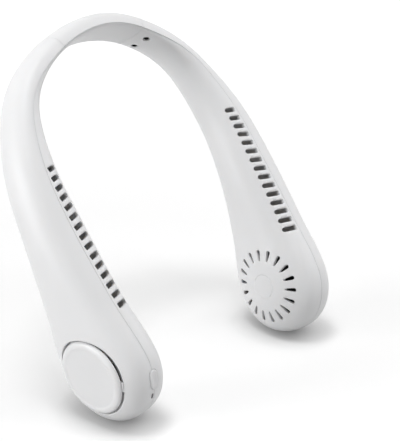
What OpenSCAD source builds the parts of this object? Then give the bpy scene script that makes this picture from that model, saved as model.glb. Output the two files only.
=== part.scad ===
// Electric neck fan: a U-shaped band with a blower in each tip.
// The band is drawn upright, nape up, and is then leaned back about the X axis.
// The origin is the middle of the nape's inner face, where the neck carries the fan.

/* [Band centre line] */
// Length of the centre line from the middle of the nape to the centre of a tip
band_reach = 217; // [205:1:240]
// Radius of the bend over the nape
nape_radius = 76; // [70:0.5:84]
// Angle that the nape's bend turns through on each side
nape_angle = 40.5; // [36:0.5:44]
// Radius of the tighter bend on each shoulder
shoulder_radius = 56.5; // [50:0.5:64]
// Angle that the shoulder's bend turns through
shoulder_angle = 26; // [22:0.5:29]
// Radius of the wide bend at the top of each arm
arm_radius = 124; // [110:1:140]
// Angle that the arm's bend turns through
arm_angle = 22.5; // [19:0.5:25]
// Angle that the lower arm turns inwards
toe_angle = 7.5; // [5:0.5:10]
// How far the arms' middle lies behind the tips
side_bow = 0.8; // [0:0.1:2]
// How far the shoulders lie behind, and the lower arms in front
side_wave = 5.2; // [0:0.1:6]
// Angle that the band leans back
lean = 30; // [0:1:45]

/* [Band sections] */
// Width of the band over the nape
nape_width = 29; // [27:0.5:33]
// Width at the shoulder
shoulder_width = 25; // [24.5:0.5:29]
// Width at the top of the arm
upper_width = 25; // [24.5:0.5:29]
// Width at the middle of the arm
middle_width = 28; // [26:0.5:32]
// Width where the arm starts to flare
lower_width = 33; // [31:0.5:38]
// Width just above the tip
flare_width = 45.5; // [42:0.5:50]
// Radius of the round tip
tip_radius = 30; // [29:0.5:33]
// Thickness of the band over the nape
nape_thick = 11.5; // [11:0.5:13]
// Thickness at the shoulder
shoulder_thick = 11.5; // [11:0.5:13]
// Thickness at the top of the arm
upper_thick = 16.5; // [16:0.5:19]
// Thickness at the middle of the arm
middle_thick = 24.5; // [23:0.5:28]
// Thickness where the arm starts to flare
lower_thick = 30.5; // [29:0.5:33]
// Thickness just above the tip
flare_thick = 32; // [31:0.5:35]
// Thickness at the centre of the tip
tip_thick = 35; // [34:0.5:38]

/* [Shells] */
// Wall thickness of the shells
wall = 1.8; // [1.5:0.1:2]
// Hairline gap between shells that meet
seam = 0.15; // [0.1:0.05:0.3]
// Distance along the band from the middle of the nape to where an arm starts
root_station = 31; // [29:0.5:32]
// Radius of the press-fit posts that hold the shells together
post_radius = 1.5; // [1.3:0.1:1.7]
// Radial clearance of a press-fit post
post_clear = 0.05; // [0.02:0.01:0.1]
// Depth that a post stands in its socket
post_bite = 3; // [2.6:0.1:3.2]
// Wall of a socket
socket_ring = 0.9; // [0.8:0.1:1]

/* [Nape screws] */
// Distance along the band from the middle of the nape to the screws
screw_station = 40; // [39:0.5:41]
// Distance of each screw from the middle of the band's width
screw_side = 5.6; // [5.4:0.1:5.8]
// Radius of a screw's recess
recess_radius = 2; // [1.9:0.05:2.1]
// Depth of a screw's recess below the nape's face
recess_deep = 2.4; // [2.2:0.1:2.5]
// Wall round a screw's recess
boss_wall = 0.7; // [0.6:0.1:0.8]
// Radius of a screw's head
head_radius = 1.75; // [1.6:0.05:1.8]
// Height of a screw's head
head_high = 1.2; // [1:0.1:1.4]
// Radius of a screw's shank
shank_radius = 0.9; // [0.8:0.05:0.95]
// Length of a screw's shank
shank_long = 4.4; // [4:0.1:4.6]
// Length of the cross in a screw's head
cross_long = 2.1; // [1.8:0.1:2.3]
// Width of the cross in a screw's head
cross_wide = 0.4; // [0.3:0.05:0.5]
// Depth of the cross in a screw's head
cross_deep = 0.6; // [0.4:0.1:0.8]
// Radial clearance of a screw in the part that it holds down
screw_clear = 0.1; // [0.05:0.05:0.2]
// Radial clearance of a screw in the part that it is driven into
thread_clear = 0.03; // [0.02:0.01:0.05]
// Thickness of the tongue that the screws hold
tongue_thick = 2; // [1.8:0.1:2.2]
// Length of the tongue from the screws into the nape cover
tongue_back = 16.5; // [15:0.5:17]
// Length of the tongue past the screws
tongue_front = 5.5; // [4.5:0.5:6]
// Width of the tongue
tongue_wide = 15.6; // [15:0.1:16]
// Length of the ribs that tie the tongue to the nape's outer cover
tie_long = 3.2; // [2.8:0.1:3.4]
// Distance from the end of the nape cover to those ribs
tie_inset = 0.8; // [0.6:0.1:1]

/* [Outlet slots] */
// Number of outlet slots in a row
slot_count = 15; // [12:1:16]
// Distance from the tip's centre to the first slot
slot_start = 28.6; // [28:0.1:30]
// Distance from one slot to the next
slot_pitch = 5.42; // [5:0.02:5.6]
// Width of a slot
slot_wide = 2.8; // [2.2:0.1:3.2]
// Distance from the parting line to the slots
slot_drop = 1.6; // [1:0.1:2.4]
// Depth of the cut from the band's edge
slot_deep = 7; // [6:0.5:8]

/* [Intake slots] */
// Number of radial slots in the inner face of a tip
intake_count = 18; // [12:1:20]
// Distance from the tip's outline to the radial slots
intake_margin = 8.2; // [7.6:0.1:9]
// Length of a radial slot
intake_long = 6.8; // [5.8:0.1:7.2]
// Width of a radial slot at its outer end
intake_wide = 2.4; // [2:0.1:2.8]
// Width of a radial slot at its inner end
intake_narrow = 1.2; // [1:0.1:1.6]
// Radius of the ring embossed inside the radial slots
emboss_radius = 7; // [6:0.1:8]
// Width of the embossed ring
emboss_wide = 0.6; // [0.4:0.1:1]
// Depth of the embossed ring
emboss_deep = 0.3; // [0.2:0.05:0.5]

/* [Intake cap] */
// Distance from the tip's outline to the cap
cap_margin = 10; // [9.6:0.1:11]
// Width of the air gap round the cap
cap_gap = 1.4; // [1.2:0.1:1.8]
// Height of the cap's face above the tip's middle plane
cap_face = 16.4; // [16:0.1:17]
// Thickness of the cap
cap_thick = 2.6; // [2.4:0.1:2.8]
// Radius that rounds the cap's rim
cap_round = 1.6; // [1.2:0.1:1.8]
// Height of the well's floor above the tip's middle plane
well_floor = 12; // [11.8:0.1:12.4]
// Thickness of the well's floor
well_thick = 1.6; // [1.4:0.1:1.8]
// Thickness of the wall round the well
well_wall = 1.8; // [1.6:0.1:2]
// Angle from straight down the arm to the first of the three lugs
lug_angle = 57; // [50:1:64]
// Angle that each lug covers
lug_span_angle = 14; // [10:1:18]
// Height of a lug
lug_high = 2; // [1.6:0.1:2.4]
// Radius of the stud in the middle of the cap
stud_radius = 2.5; // [2:0.1:3]
// Radius to the inner ends of the openings in the well's floor
grille_inner = 6.5; // [5.5:0.5:8]
// Distance from the cap's edge to the openings in the well's floor
grille_margin = 1.5; // [1.2:0.1:2.5]
// Number of spokes in the well's floor
spoke_count = 6; // [4:1:8]
// Width of a spoke
spoke_wide = 2.4; // [2:0.1:3]
// Gap left where one part sits on another
seat_gap = 0.05; // [0.02:0.01:0.1]

/* [Impeller] */
// Gap between the impeller and the shell round it
impeller_gap = 6.2; // [6:0.1:7.2]
// Distance from the impeller's hub to its blades
blade_gap = 3.1; // [2.6:0.1:4]
// Number of blades
blade_count = 24; // [16:1:28]
// Thickness of a blade
blade_thick = 0.9; // [0.7:0.1:1.1]
// Angle that a blade sweeps between its ends
sweep_angle = 16; // [8:1:20]
// Height of the impeller's lower edge from the tip's middle plane
impeller_low = -8; // [-8.4:0.1:-7.6]
// Height of the impeller's upper edge from the tip's middle plane
impeller_high = 8.4; // [8:0.1:8.8]
// Thickness of the impeller's plate and end rings
plate_thick = 1; // [0.8:0.1:1.2]
// Width of the impeller's end rings
ring_wide = 1.6; // [1.2:0.1:2]
// Radius of the impeller's hub
hub_radius = 11.4; // [11.2:0.1:12]

/* [Motor] */
// Radius of the rotor cup
rotor_radius = 10; // [9.8:0.1:10.2]
// Wall of the rotor cup
rotor_wall = 0.6; // [0.5:0.05:0.7]
// Height of the rotor cup
rotor_high = 7.6; // [7.2:0.1:7.8]
// Gap between the motor base and the rotor cup
rotor_lift = 0.95; // [0.9:0.05:1]
// Thickness of the magnet ring
magnet_thick = 1.2; // [1:0.1:1.3]
// Height of the magnet ring
magnet_high = 5; // [4:0.1:5.4]
// Air gap between the magnet ring and the stator
air_gap = 0.5; // [0.4:0.05:0.7]
// Height of the stator core
stator_high = 3.6; // [3:0.1:3.8]
// Gap between the motor base and the stator core
stator_lift = 1.9; // [1.7:0.1:2.1]
// Number of the stator's teeth
tooth_count = 6; // [6:3:9]
// Width of a stator tooth
tooth_wide = 1.6; // [1.4:0.1:1.8]
// Thickness of the winding round a tooth
coil_thick = 0.7; // [0.5:0.05:0.8]
// Radius of the shaft
shaft_radius = 0.75; // [0.7:0.05:0.9]
// Running clearance of the shaft in its bearings
shaft_clear = 0.03; // [0.02:0.01:0.06]
// Gap between the ends of the turning parts and the fixed ones
running_gap = 0.4; // [0.3:0.05:0.5]
// Outer radius of a bearing
bearing_radius = 1.6; // [1.5:0.05:1.7]
// Length of a bearing
bearing_long = 2.4; // [2:0.1:2.6]
// Wall of the bearing tube
tube_wall = 0.9; // [0.8:0.05:1]
// Radius of the motor base
base_radius = 12.6; // [12.4:0.1:13]
// Thickness of the motor base
base_thick = 1.2; // [1:0.1:1.3]
// Height of the motor base's lower face from the tip's middle plane
base_low = -12.6; // [-12.7:0.1:-12.5]
// Radius from the motor's axis to its screws
base_screw_ring = 11; // [10.9:0.05:11.1]
// Radius of a motor screw's shank
small_shank = 0.55; // [0.5:0.05:0.6]
// Radius of a motor screw's head
small_head = 1; // [0.9:0.05:1.05]
// Height of a motor screw's head
small_head_high = 0.6; // [0.5:0.05:0.65]
// Length of a motor screw's shank
small_long = 2.6; // [2.4:0.1:2.8]
// Radius of the post under a motor screw
base_post = 1.7; // [1.6:0.05:1.8]

/* [Battery and duct] */
// Length of a battery cell
cell_long = 38; // [34:0.5:39]
// Width of a battery cell
cell_wide = 13.6; // [12:0.1:14]
// Thickness of a battery cell
cell_thick = 7; // [6:0.1:7.2]
// Radius that rounds a battery cell's edges
cell_round = 2.4; // [2:0.1:2.8]
// Distance along the band from the middle of the nape to a cell's middle
cell_station = 87; // [86:0.5:88]
// Distance that the cell lies towards the outlet edge
cell_side = 1.4; // [1:0.1:1.6]
// Distance that the cell lies towards the inner face
cell_drop = 0.7; // [0.5:0.1:0.9]
// Thickness of the two ribs that carry a cell
rib_thick = 1.6; // [1.2:0.1:2]
// Width of a rib
rib_wide = 9; // [7:0.5:9.5]
// Distance from a cell's middle to each rib
rib_offset = 11; // [9:0.5:13]
// Thickness of the divider between a cell and the air duct
divider_thick = 2; // [1.5:0.1:2.5]
// Distance along the band from the middle of the nape to the divider
divider_station = 108.6; // [108.2:0.1:108.8]
// Clearance round the divider
divider_clear = 0.3; // [0.2:0.05:0.5]

/* [Electronics] */
// Length of the control board
board_long = 30; // [28:0.5:31]
// Width of the control board
board_wide = 9.6; // [9:0.1:10]
// Thickness of the circuit boards
board_thick = 1; // [0.8:0.1:1.2]
// Distance along the band from the middle of the nape to the control board's middle
board_station = 164; // [163:0.5:165]
// Distance of the control board's middle from the middle of the band's width
board_side = 8.8; // [8.6:0.1:9]
// Radius of the posts under the control board
board_post = 1.6; // [1.4:0.1:1.8]
// Height of the chips on the control board
chip_high = 1.2; // [0.8:0.1:1.5]
// Width of the charging socket's mouth
socket_wide = 8.94; // [8.9:0.01:9]
// Height of the charging socket's mouth
socket_high = 3.26; // [3.2:0.01:3.3]
// Depth of the charging socket
socket_deep = 7; // [6.5:0.1:7.4]
// Wall of the charging socket
socket_wall = 0.3; // [0.25:0.05:0.35]
// Width of the tongue inside the charging socket
socket_tongue = 6.7; // [6.5:0.1:6.8]
// Thickness of the tongue inside the charging socket
socket_tongue_thick = 0.7; // [0.6:0.05:0.8]
// Length of the tongue inside the charging socket
socket_tongue_long = 5.6; // [5:0.1:5.8]
// Depth of the charging socket's mouth below the band's edge
socket_inset = 0.6; // [0.4:0.1:0.8]
// Distance along the band from the middle of the nape to the charging socket
socket_station = 164; // [163:0.5:165]
// Clearance between the charging socket and the shells
socket_clear = 0.2; // [0.15:0.05:0.3]

/* [Power button] */
// Angle from straight down the arm to the button, towards the outlets
button_angle = 63; // [61:1:66]
// Length of the button
button_long = 11; // [10:0.5:11.5]
// Width of the button
button_wide = 5.4; // [4.5:0.1:5.6]
// Height that the button stands out
button_proud = 0.4; // [0.2:0.1:0.6]
// Clearance round the button
button_clear = 0.25; // [0.2:0.05:0.35]
// Distance that the button moves when pressed
button_travel = 0.3; // [0.2:0.05:0.35]
// Thickness of the flange behind the button
flange_thick = 0.8; // [0.7:0.05:0.9]
// Distance that the flange reaches past the button
flange_lip = 0.8; // [0.6:0.1:0.9]
// Gap between the middle of the flange and the shell
flange_gap = 1.8; // [1.75:0.05:1.9]
// Side of the tactile switch
switch_side = 4.5; // [4:0.1:4.7]
// Height of the tactile switch's body
switch_high = 1.1; // [1:0.05:1.15]
// Radius of the tactile switch's plunger
plunger_radius = 1.2; // [1:0.1:1.4]
// Height of the tactile switch's plunger
plunger_high = 0.25; // [0.15:0.05:0.3]
// Length of the button board
button_board_long = 19; // [17.5:0.5:19.5]
// Width of the button board
button_board_wide = 9; // [8:0.5:9.5]
// Width of the pads that hold the button board
pad_wide = 1.6; // [1.2:0.1:2]
// Angle from straight down the arm to the light window
light_angle = 44.5; // [44:0.5:45]
// Length of the light window
light_long = 3.2; // [2.6:0.1:3.4]
// Width of the light window
light_wide = 1; // [0.8:0.1:1.1]
// Distance of the light window from the parting line
light_side = 1.4; // [1.3:0.1:1.6]
// Clearance round the light guide
light_clear = 0.08; // [0.05:0.01:0.12]

/* [Wiring] */
// Radius of the wiring harness
wire_radius = 0.75; // [0.6:0.05:0.8]
// Distance of the harness from the middle of the band's width
wire_side = 9.2; // [9.1:0.05:9.3]
// Gap between a wire's end and what it is joined to
lead_gap = 0.5; // [0.4:0.05:0.6]
// Length of a motor's lead that lies level beside the motor
lead_level = 4; // [3:0.5:5]

/* [Hidden] */

// Overrun of every cut
over = 0.5;
// Exponent that squares off the band's section across its thickness
section_exponent = 2.7;
// Steps round half a section, along an arm, round a tip and along the nape
section_steps = 12;
arm_steps = 24;
tip_steps = 7;
nape_steps = 16;
well_steps = 48;
// How far towards the inner face the outlet slots reach, as a share of half the thickness
slot_reach_share = 0.61;
// Radii that follow from the tip's
cap_radius = tip_radius - cap_margin;
grille_outer = cap_radius - grille_margin;
intake_outer = tip_radius - intake_margin;
intake_inner = intake_outer - intake_long;
impeller_radius = tip_radius - wall - impeller_gap;
blade_inner = hub_radius + blade_gap;
// Widths and thicknesses at equal steps from the nape to the tip's centre
widths = [nape_width, shoulder_width, upper_width, middle_width, lower_width, flare_width, 2 * tip_radius];
thicks = [nape_thick, shoulder_thick, upper_thick, middle_thick, lower_thick, flare_thick, tip_thick];
turns = [nape_angle, shoulder_angle, arm_angle, toe_angle];
bend_runs = [nape_radius * nape_angle * PI / 180, shoulder_radius * shoulder_angle * PI / 180,
             arm_radius * arm_angle * PI / 180];
runs = concat(bend_runs, [band_reach - bend_runs[0] - bend_runs[1] - bend_runs[2]]);
white = [0.93, 0.93, 0.94];
steel = [0.68, 0.69, 0.71];
copper = [0.72, 0.42, 0.2];
brass = [0.72, 0.58, 0.3];
silver = [0.75, 0.76, 0.78];
board_green = [0.1, 0.32, 0.18];
dark_grey = [0.2, 0.2, 0.22];
clear_grey = [0.85, 0.88, 0.9];

// Centre line, as four tangent arcs

function run_end(i) = i < 0 ? 0 : run_end(i - 1) + runs[i];
function turned(i) = i < 0 ? 0 : turned(i - 1) + turns[i];
function arc_of(s) = s < run_end(0) ? 0 : s < run_end(1) ? 1 : s < run_end(2) ? 2 : 3;
function arc_radius(i) = runs[i] * 180 / (PI * turns[i]);
function heading(s) =
    let (q = min(s, band_reach), i = arc_of(q))
    turned(i - 1) + turns[i] * (q - run_end(i - 1)) / runs[i];
function along_arc(start, r, from, to) =
    [start[0] + r * (sin(to) - sin(from)), start[1] + r * (cos(to) - cos(from))];
function arc_start(i) = i == 0 ? [0, 0] :
    along_arc(arc_start(i - 1), arc_radius(i - 1), turned(i - 2), turned(i - 1));
function sway(s) =
    let (a = 180 * min(s, band_reach) / band_reach)
    pow(sin(a), 2) * (side_bow + side_wave * cos(a));
function centre(s) =
    let (q = min(s, band_reach), i = arc_of(q), h = heading(q),
         p = along_arc(arc_start(i), arc_radius(i), turned(i - 1), h), past = s - q)
    [p[0] + past * cos(h), sway(q), p[1] - past * sin(h)];

// Directions at a place along the band: along it, outwards, and across its width

function unit(v) = v / norm(v);
function sway_slope(s) =
    let (a = 180 * min(s, band_reach) / band_reach)
    (side_bow * sin(2 * a) + side_wave * (2 * sin(a) * pow(cos(a), 2) - pow(sin(a), 3))) * PI / band_reach;
function along(s) = unit([cos(heading(s)), sway_slope(s), -sin(heading(s))]);
function across(s) = unit(cross([sin(heading(s)), 0, cos(heading(s))], along(s)));
function outward(s) = cross(along(s), across(s));

// Width and thickness at a place along the band, eased through the named sizes

function slope_at(list, i) = i == 0 || i == len(list) - 1 ? 0 : (list[i + 1] - list[i - 1]) / 2;
function eased(list, share) =
    let (x = min(max(share, 0), 1) * (len(list) - 1), i = min(floor(x), len(list) - 2), t = x - i)
    (2 * pow(t, 3) - 3 * pow(t, 2) + 1) * list[i] + (pow(t, 3) - 2 * pow(t, 2) + t) * slope_at(list, i)
    + (3 * pow(t, 2) - 2 * pow(t, 3)) * list[i + 1] + (pow(t, 3) - pow(t, 2)) * slope_at(list, i + 1);
function half_width(s) = eased(widths, s / band_reach) / 2;
function half_thick(s) = eased(thicks, s / band_reach) / 2;

// Height of a face above the middle plane, where the section is half_w wide and half_t thick
function crown(half_w, half_t, y) = half_t * pow(max(0, 1 - pow(y / half_w, 2)), 1 / section_exponent);
// Height inside the shell at a place along and across the band, halfway into the wall
function inside(s, y) = crown(half_width(s) - wall / 2, half_thick(s) - wall / 2, y);
// The same at a place in the tip's frame: x down the band from the tip's centre and y across it
function inside_tip(x, y) =
    let (e = max(0, x) / (tip_radius - wall / 2), s = band_reach + min(0, x),
         w = (half_width(s) - wall / 2) * sqrt(1 - pow(e, 2)),
         t = (half_thick(s) - wall / 2) * pow(1 - pow(e, section_exponent), 1 / section_exponent))
    crown(w, t, y);
// Height inside the round tip at a radius from its centre, halfway into the wall
function tip_inside(r) =
    let (share = pow(r / (tip_radius - wall / 2), section_exponent))
    (tip_thick - wall) / 2 * pow(max(0, 1 - share), 1 / section_exponent);

// A point on the skin: s along the band, a round the section, inset into the wall.
// The angle a is 0 on the outer face, -90 on the outlet edge, 90 on the back edge and 180 on the inner face.
function skin(s, a, inset, lift) =
    let (d = abs(s), round_r = tip_radius - inset,
         e = min(1, max(0, d - band_reach) / round_r),
         w = (half_width(d) - inset) * sqrt(1 - pow(e, 2)),
         t = (half_thick(d) - inset) * pow(1 - pow(e, section_exponent), 1 / section_exponent),
         rise = abs(cos(a)) < 0.001 ? 0 : sign(cos(a)) * t * pow(abs(cos(a)), 2 / section_exponent),
         u = lift > 0 ? max(rise, lift) : min(rise, lift),
         p = centre(d) + outward(d) * u + across(d) * w * sin(a))
    [s < 0 ? -p[0] : p[0], p[1], p[2]];

// One loop of a half shell: the outside from edge to edge, then the inside back again
function shell_loop(s_out, s_in, face) = concat(
    [for (j = [0:section_steps]) skin(s_out, face * (-90 + 180 * j / section_steps) + (face < 0 ? 180 : 0),
                                      0, face * seam / 2)],
    [for (j = [section_steps:-1:0]) skin(s_in, face * (-90 + 180 * j / section_steps) + (face < 0 ? 180 : 0),
                                         wall, face * seam / 2)]);
loop_size = 2 * section_steps + 2;

// Triangles of a half shell, which meet the same way round for both faces
function quad(a, b, c, d) = [[a, b, c], [a, c, d]];
function wall_faces(rows) = [for (i = [0:rows - 2]) for (j = [0:loop_size - 1])
    for (f = quad(i * loop_size + j, i * loop_size + (j + 1) % loop_size,
                  (i + 1) * loop_size + (j + 1) % loop_size, (i + 1) * loop_size + j)) f];
function end_faces(base) = [for (j = [0:section_steps - 1])
    for (f = quad(base + j, base + loop_size - 1 - j, base + loop_size - 2 - j, base + j + 1)) f];
function turned_over(faces) = [for (f = faces) [f[2], f[1], f[0]]];
function pole_faces(base, outer_pole, inner_pole) = concat(
    [for (j = [0:section_steps - 1]) [base + j, base + j + 1, outer_pole]],
    [for (j = [section_steps + 1:loop_size - 2]) [base + j, base + j + 1, inner_pole]],
    quad(base + section_steps, base + section_steps + 1, inner_pole, outer_pole),
    quad(base + loop_size - 1, base, outer_pole, inner_pole));

// Half of the arm's shell, from its root round the tip. face is 1 for the outer half, -1 for the inner one.
module arm_half(face) {
    start = root_station + seam / 2;
    tip_turn = 90 / tip_steps;
    rows = arm_steps + tip_steps;
    function out_at(i) = i <= arm_steps ? start + (band_reach - start) * i / arm_steps
        : band_reach + tip_radius * sin((i - arm_steps) * tip_turn);
    function in_at(i) = i <= arm_steps ? start + (band_reach - start) * i / arm_steps
        : band_reach + (tip_radius - wall) * sin((i - arm_steps) * tip_turn);
    loops = [for (i = [0:rows - 1]) for (p = shell_loop(out_at(i), in_at(i), face)) p];
    poles = [skin(band_reach + tip_radius, 0, 0, face * seam / 2),
             skin(band_reach + tip_radius - wall, 0, wall, face * seam / 2)];
    count = rows * loop_size;
    faces = concat(wall_faces(rows), end_faces(0), pole_faces(count - loop_size, count, count + 1));
    polyhedron(concat(loops, poles), face > 0 ? faces : turned_over(faces));
}

// Half of the nape's shell, from one arm's root to the other's
module nape_half(face) {
    reach = root_station - seam / 2;
    loops = [for (i = [0:nape_steps]) let (s = reach * (2 * i / nape_steps - 1))
        for (p = shell_loop(s, s, face)) p];
    faces = concat(wall_faces(nape_steps + 1), end_faces(0), turned_over(end_faces(nape_steps * loop_size)));
    polyhedron(loops, face > 0 ? faces : turned_over(faces));
}

// Places: the finished pose, and a station on the right arm with X along the band and Z outwards

module posed() {
    rotate([-lean, 0, 0])
        translate([0, 0, nape_thick / 2])
            children();
}

module station(s) {
    translate(centre(s))
        rotate([0, heading(s), 0])
            children();
}

module tip() {
    station(band_reach)
        children();
}

// A place on the tip's rim: X outwards through the rim, Y along the rim, Z outwards from the tip's face
module rim(angle) {
    tip()
        rotate([0, 0, angle])
            children();
}

module left() {
    mirror([1, 0, 0])
        children();
}

// Profiles

function arc_points(r, from, to, steps, at = [0, 0]) =
    [for (i = [0:steps]) let (a = from + (to - from) * i / steps) [at[0] + r * cos(a), at[1] + r * sin(a)]];

module stadium(long, wide) {
    r = wide / 2;
    square([long - wide, wide], center = true);
    for (x = [-1, 1])
        translate([x * (long / 2 - r), 0])
            circle(r, $fn = 32);
}

module rounded_bar(long, wide, thick, r) {
    rotate([0, 90, 0])
        linear_extrude(long, center = true)
            union() {
                square([thick - 2 * r, wide], center = true);
                square([thick, wide - 2 * r], center = true);
                for (x = [-1, 1])
                    for (y = [-1, 1])
                        translate([x * (thick / 2 - r), y * (wide / 2 - r)])
                            circle(r, $fn = 32);
            }
}

module ring(outer, inner, high) {
    difference() {
        cylinder(r = outer, h = high, $fn = 96);
        translate([0, 0, -over])
            cylinder(r = inner, h = high + 2 * over, $fn = 96);
    }
}

// Cuts in the shells

module outlet_slots() {
    for (k = [0:slot_count - 1]) {
        s = band_reach - slot_start - k * slot_pitch;
        far_end = slot_reach_share * half_thick(s);
        r = slot_wide / 2;
        station(s)
            translate([0, -half_width(s) + slot_deep, 0])
                rotate([90, 0, 0])
                    linear_extrude(slot_deep + over)
                        polygon(concat([[r, -slot_drop], [-r, -slot_drop]],
                                       arc_points(r, 180, 360, 6, [0, -far_end + r])));
    }
}

module intake_slots() {
    big = intake_wide / 2;
    small = intake_narrow / 2;
    for (i = [0:intake_count - 1])
        tip()
            rotate([0, 0, (i + 0.5) * 360 / intake_count])
                translate([0, 0, -tip_thick / 2 - over])
                    linear_extrude(tip_thick / 2)
                        polygon(concat(arc_points(big, -90, 90, 6, [intake_outer - big, 0]),
                                       arc_points(small, 90, 270, 4, [intake_inner + small, 0])));
}

module emboss() {
    tip()
        translate([0, 0, -tip_thick / 2 - over])
            ring(emboss_radius + emboss_wide / 2, emboss_radius - emboss_wide / 2, over + emboss_deep);
}

// Through the rim for the power button
module button_opening() {
    rim(-button_angle)
        translate([tip_radius - 2 * wall, 0, 0])
            rotate([90, 0, 90])
                linear_extrude(3 * wall)
                    stadium(button_long + 2 * button_clear, button_wide + 2 * button_clear);
}

module light_opening() {
    rim(-light_angle)
        translate([tip_radius - 2 * wall, 0, light_side])
            rotate([90, 0, 90])
                linear_extrude(3 * wall)
                    stadium(light_long + 2 * light_clear, light_wide + 2 * light_clear);
}

module socket_opening() {
    station(socket_station)
        translate([0, half_width(socket_station) - 2 * wall, 0])
            rotate([-90, 0, 0])
                linear_extrude(3 * wall)
                    stadium(socket_wide + 2 * (socket_wall + socket_clear),
                            socket_high + 2 * (socket_wall + socket_clear));
}

// Posts and ribs

// Places on an arm where an outer shell's post stands in an inner shell's socket,
// as shares of the band's reach and of half its width there
post_shares = [[0.25, -0.24], [0.622, 0.3], [0.866, 0.617]];
post_places = [for (p = post_shares) [p[0] * band_reach, p[1] * half_width(p[0] * band_reach)]];

// A socket on the inner half at a place along and across the band
module socket_at(s, y) {
    deep = inside(s, y);
    station(s)
        translate([0, y, -deep])
            difference() {
                cylinder(r = post_radius + post_clear + socket_ring, h = deep - seam / 2, $fn = 32);
                translate([0, 0, deep - post_bite - seam])
                    cylinder(r = post_radius + post_clear, h = post_bite + 2 * seam, $fn = 32);
            }
}

// A post on the outer half that stands in it
module post_at(s, y) {
    station(s)
        translate([0, y, -post_bite])
            cylinder(r = post_radius, h = inside(s, y) + post_bite, $fn = 32);
}

module post_sockets() {
    for (p = post_places)
        socket_at(p[0], p[1]);
}

module posts() {
    for (p = post_places)
        post_at(p[0], p[1]);
}

module cell_ribs() {
    for (x = [-1, 1]) {
        s = cell_station + x * rib_offset;
        top = cell_drop + cell_thick / 2 + seat_gap;
        deep = inside(s, rib_wide / 2 + cell_side) - top;
        station(cell_station)
            translate([x * rib_offset, -cell_side, -top - deep / 2])
                cube([rib_thick, rib_wide, deep], center = true);
    }
}

// Height of the control board's lower face, under the charging socket
board_low = -socket_high / 2 - socket_wall - seat_gap - board_thick;

// Screw recesses and bosses of the inner shell's root

tongue_low = -tongue_thick / 2;
boss_top = tongue_low - seat_gap;
recess_floor = -nape_thick / 2 + recess_deep;

module screw_places() {
    station(screw_station)
        for (y = [-1, 1])
            translate([0, y * screw_side, 0])
                children();
}

module root_bosses() {
    low = -inside(screw_station, screw_side);
    screw_places()
        translate([0, 0, low])
            cylinder(r = recess_radius + boss_wall, h = boss_top - low, $fn = 32);
}

module root_recesses() {
    screw_places() {
        translate([0, 0, -nape_thick])
            cylinder(r = recess_radius, h = nape_thick + recess_floor, $fn = 48);
        translate([0, 0, -nape_thick])
            cylinder(r = shank_radius + screw_clear, h = nape_thick, $fn = 32);
    }
}

module board_posts() {
    for (x = [-board_long / 3, board_long / 3]) {
        deep = inside(board_station + x, board_side);
        station(board_station)
            translate([x, board_side, -deep])
                cylinder(r = board_post, h = deep + board_low - seat_gap, $fn = 32);
    }
}

// Pads between the button board and the shell, in the rim's frame
module board_pads() {
    low = board_radius + board_thick + seat_gap;
    for (y = [-1, 1])
        rim(-button_angle)
            translate([low, y * (button_board_long / 2 - pad_wide) - pad_wide / 2, -button_board_wide / 2])
                cube([tip_radius - wall - low, pad_wide, button_board_wide / 2 - seam / 2]);
}

module motor_posts() {
    tip()
        for (i = [0:2])
            rotate([0, 0, i * 120])
                translate([base_screw_ring, 0, -tip_inside(base_screw_ring)])
                    difference() {
                        high = tip_inside(base_screw_ring) + base_low - seat_gap;
                        cylinder(r = base_post, h = high, $fn = 32);
                        translate([0, 0, high - small_long])
                            cylinder(r = small_shank + thread_clear, h = small_long + over, $fn = 24);
                    }
}

// Shells

// The wall round the well, which ends halfway into the shell's wall. The well itself is cut through it afterwards.
module well_side() {
    radii = [cap_radius + cap_gap - over, cap_radius + cap_gap + well_wall];
    low = well_floor - well_thick;
    corners = [for (i = [0:well_steps - 1]) for (r = radii) for (top = [0, 1])
        let (a = i * 360 / well_steps, x = r * cos(a), y = r * sin(a))
        [x, y, top == 1 ? inside_tip(x, y) : low]];
    size = len(corners);
    faces = [for (i = [0:well_steps - 1]) let (b = 4 * i, n = (b + 4) % size)
        for (f = concat(quad(b, b + 1, n + 1, n), quad(b + 1, b + 3, n + 3, n + 1),
                        quad(b + 3, b + 2, n + 2, n + 3), quad(b + 2, b, n, n + 2))) f];
    polyhedron(corners, turned_over(faces));
}

module well_plate() {
    difference() {
        translate([0, 0, well_floor - well_thick])
            cylinder(r = cap_radius + cap_gap + well_wall / 2, h = well_thick, $fn = 96);
        translate([0, 0, well_floor - well_thick - over])
            cylinder(r = stud_radius + post_clear, h = well_thick + 2 * over, $fn = 48);
        translate([0, 0, well_floor - well_thick - over])
            linear_extrude(well_thick + 2 * over)
                grille_openings();
    }
}

module grille_openings() {
    difference() {
        circle(grille_outer, $fn = 96);
        circle(grille_inner, $fn = 96);
        for (i = [0:spoke_count - 1])
            rotate(i * 360 / spoke_count)
                translate([0, -spoke_wide / 2])
                    square([cap_radius, spoke_wide]);
    }
}

module outer_shell() {
    difference() {
        union() {
            arm_half(1);
            posts();
            tip()
                well_side();
        }
        tip()
            translate([0, 0, well_floor])
                cylinder(r = cap_radius + cap_gap, h = tip_thick, $fn = 96);
    }
    tip()
        well_plate();
}

module inner_shell() {
    difference() {
        union() {
            arm_half(-1);
            root_bosses();
        }
        root_recesses();
        outlet_slots();
        intake_slots();
        emboss();
    }
    post_sockets();
    motor_posts();
    cell_ribs();
}

module right_arm_outer_shell() {
    color(white)
        posed()
            outer_shell();
}

module left_arm_outer_shell() {
    color(white)
        posed()
            left()
                difference() {
                    outer_shell();
                    button_opening();
                    light_opening();
                    socket_opening();
                }
}

module right_arm_inner_shell() {
    color(white)
        posed()
            inner_shell();
}

module left_arm_inner_shell() {
    color(white)
        posed()
            left() {
                difference() {
                    inner_shell();
                    button_opening();
                    socket_opening();
                }
                board_posts();
                board_pads();
            }
}

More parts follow.
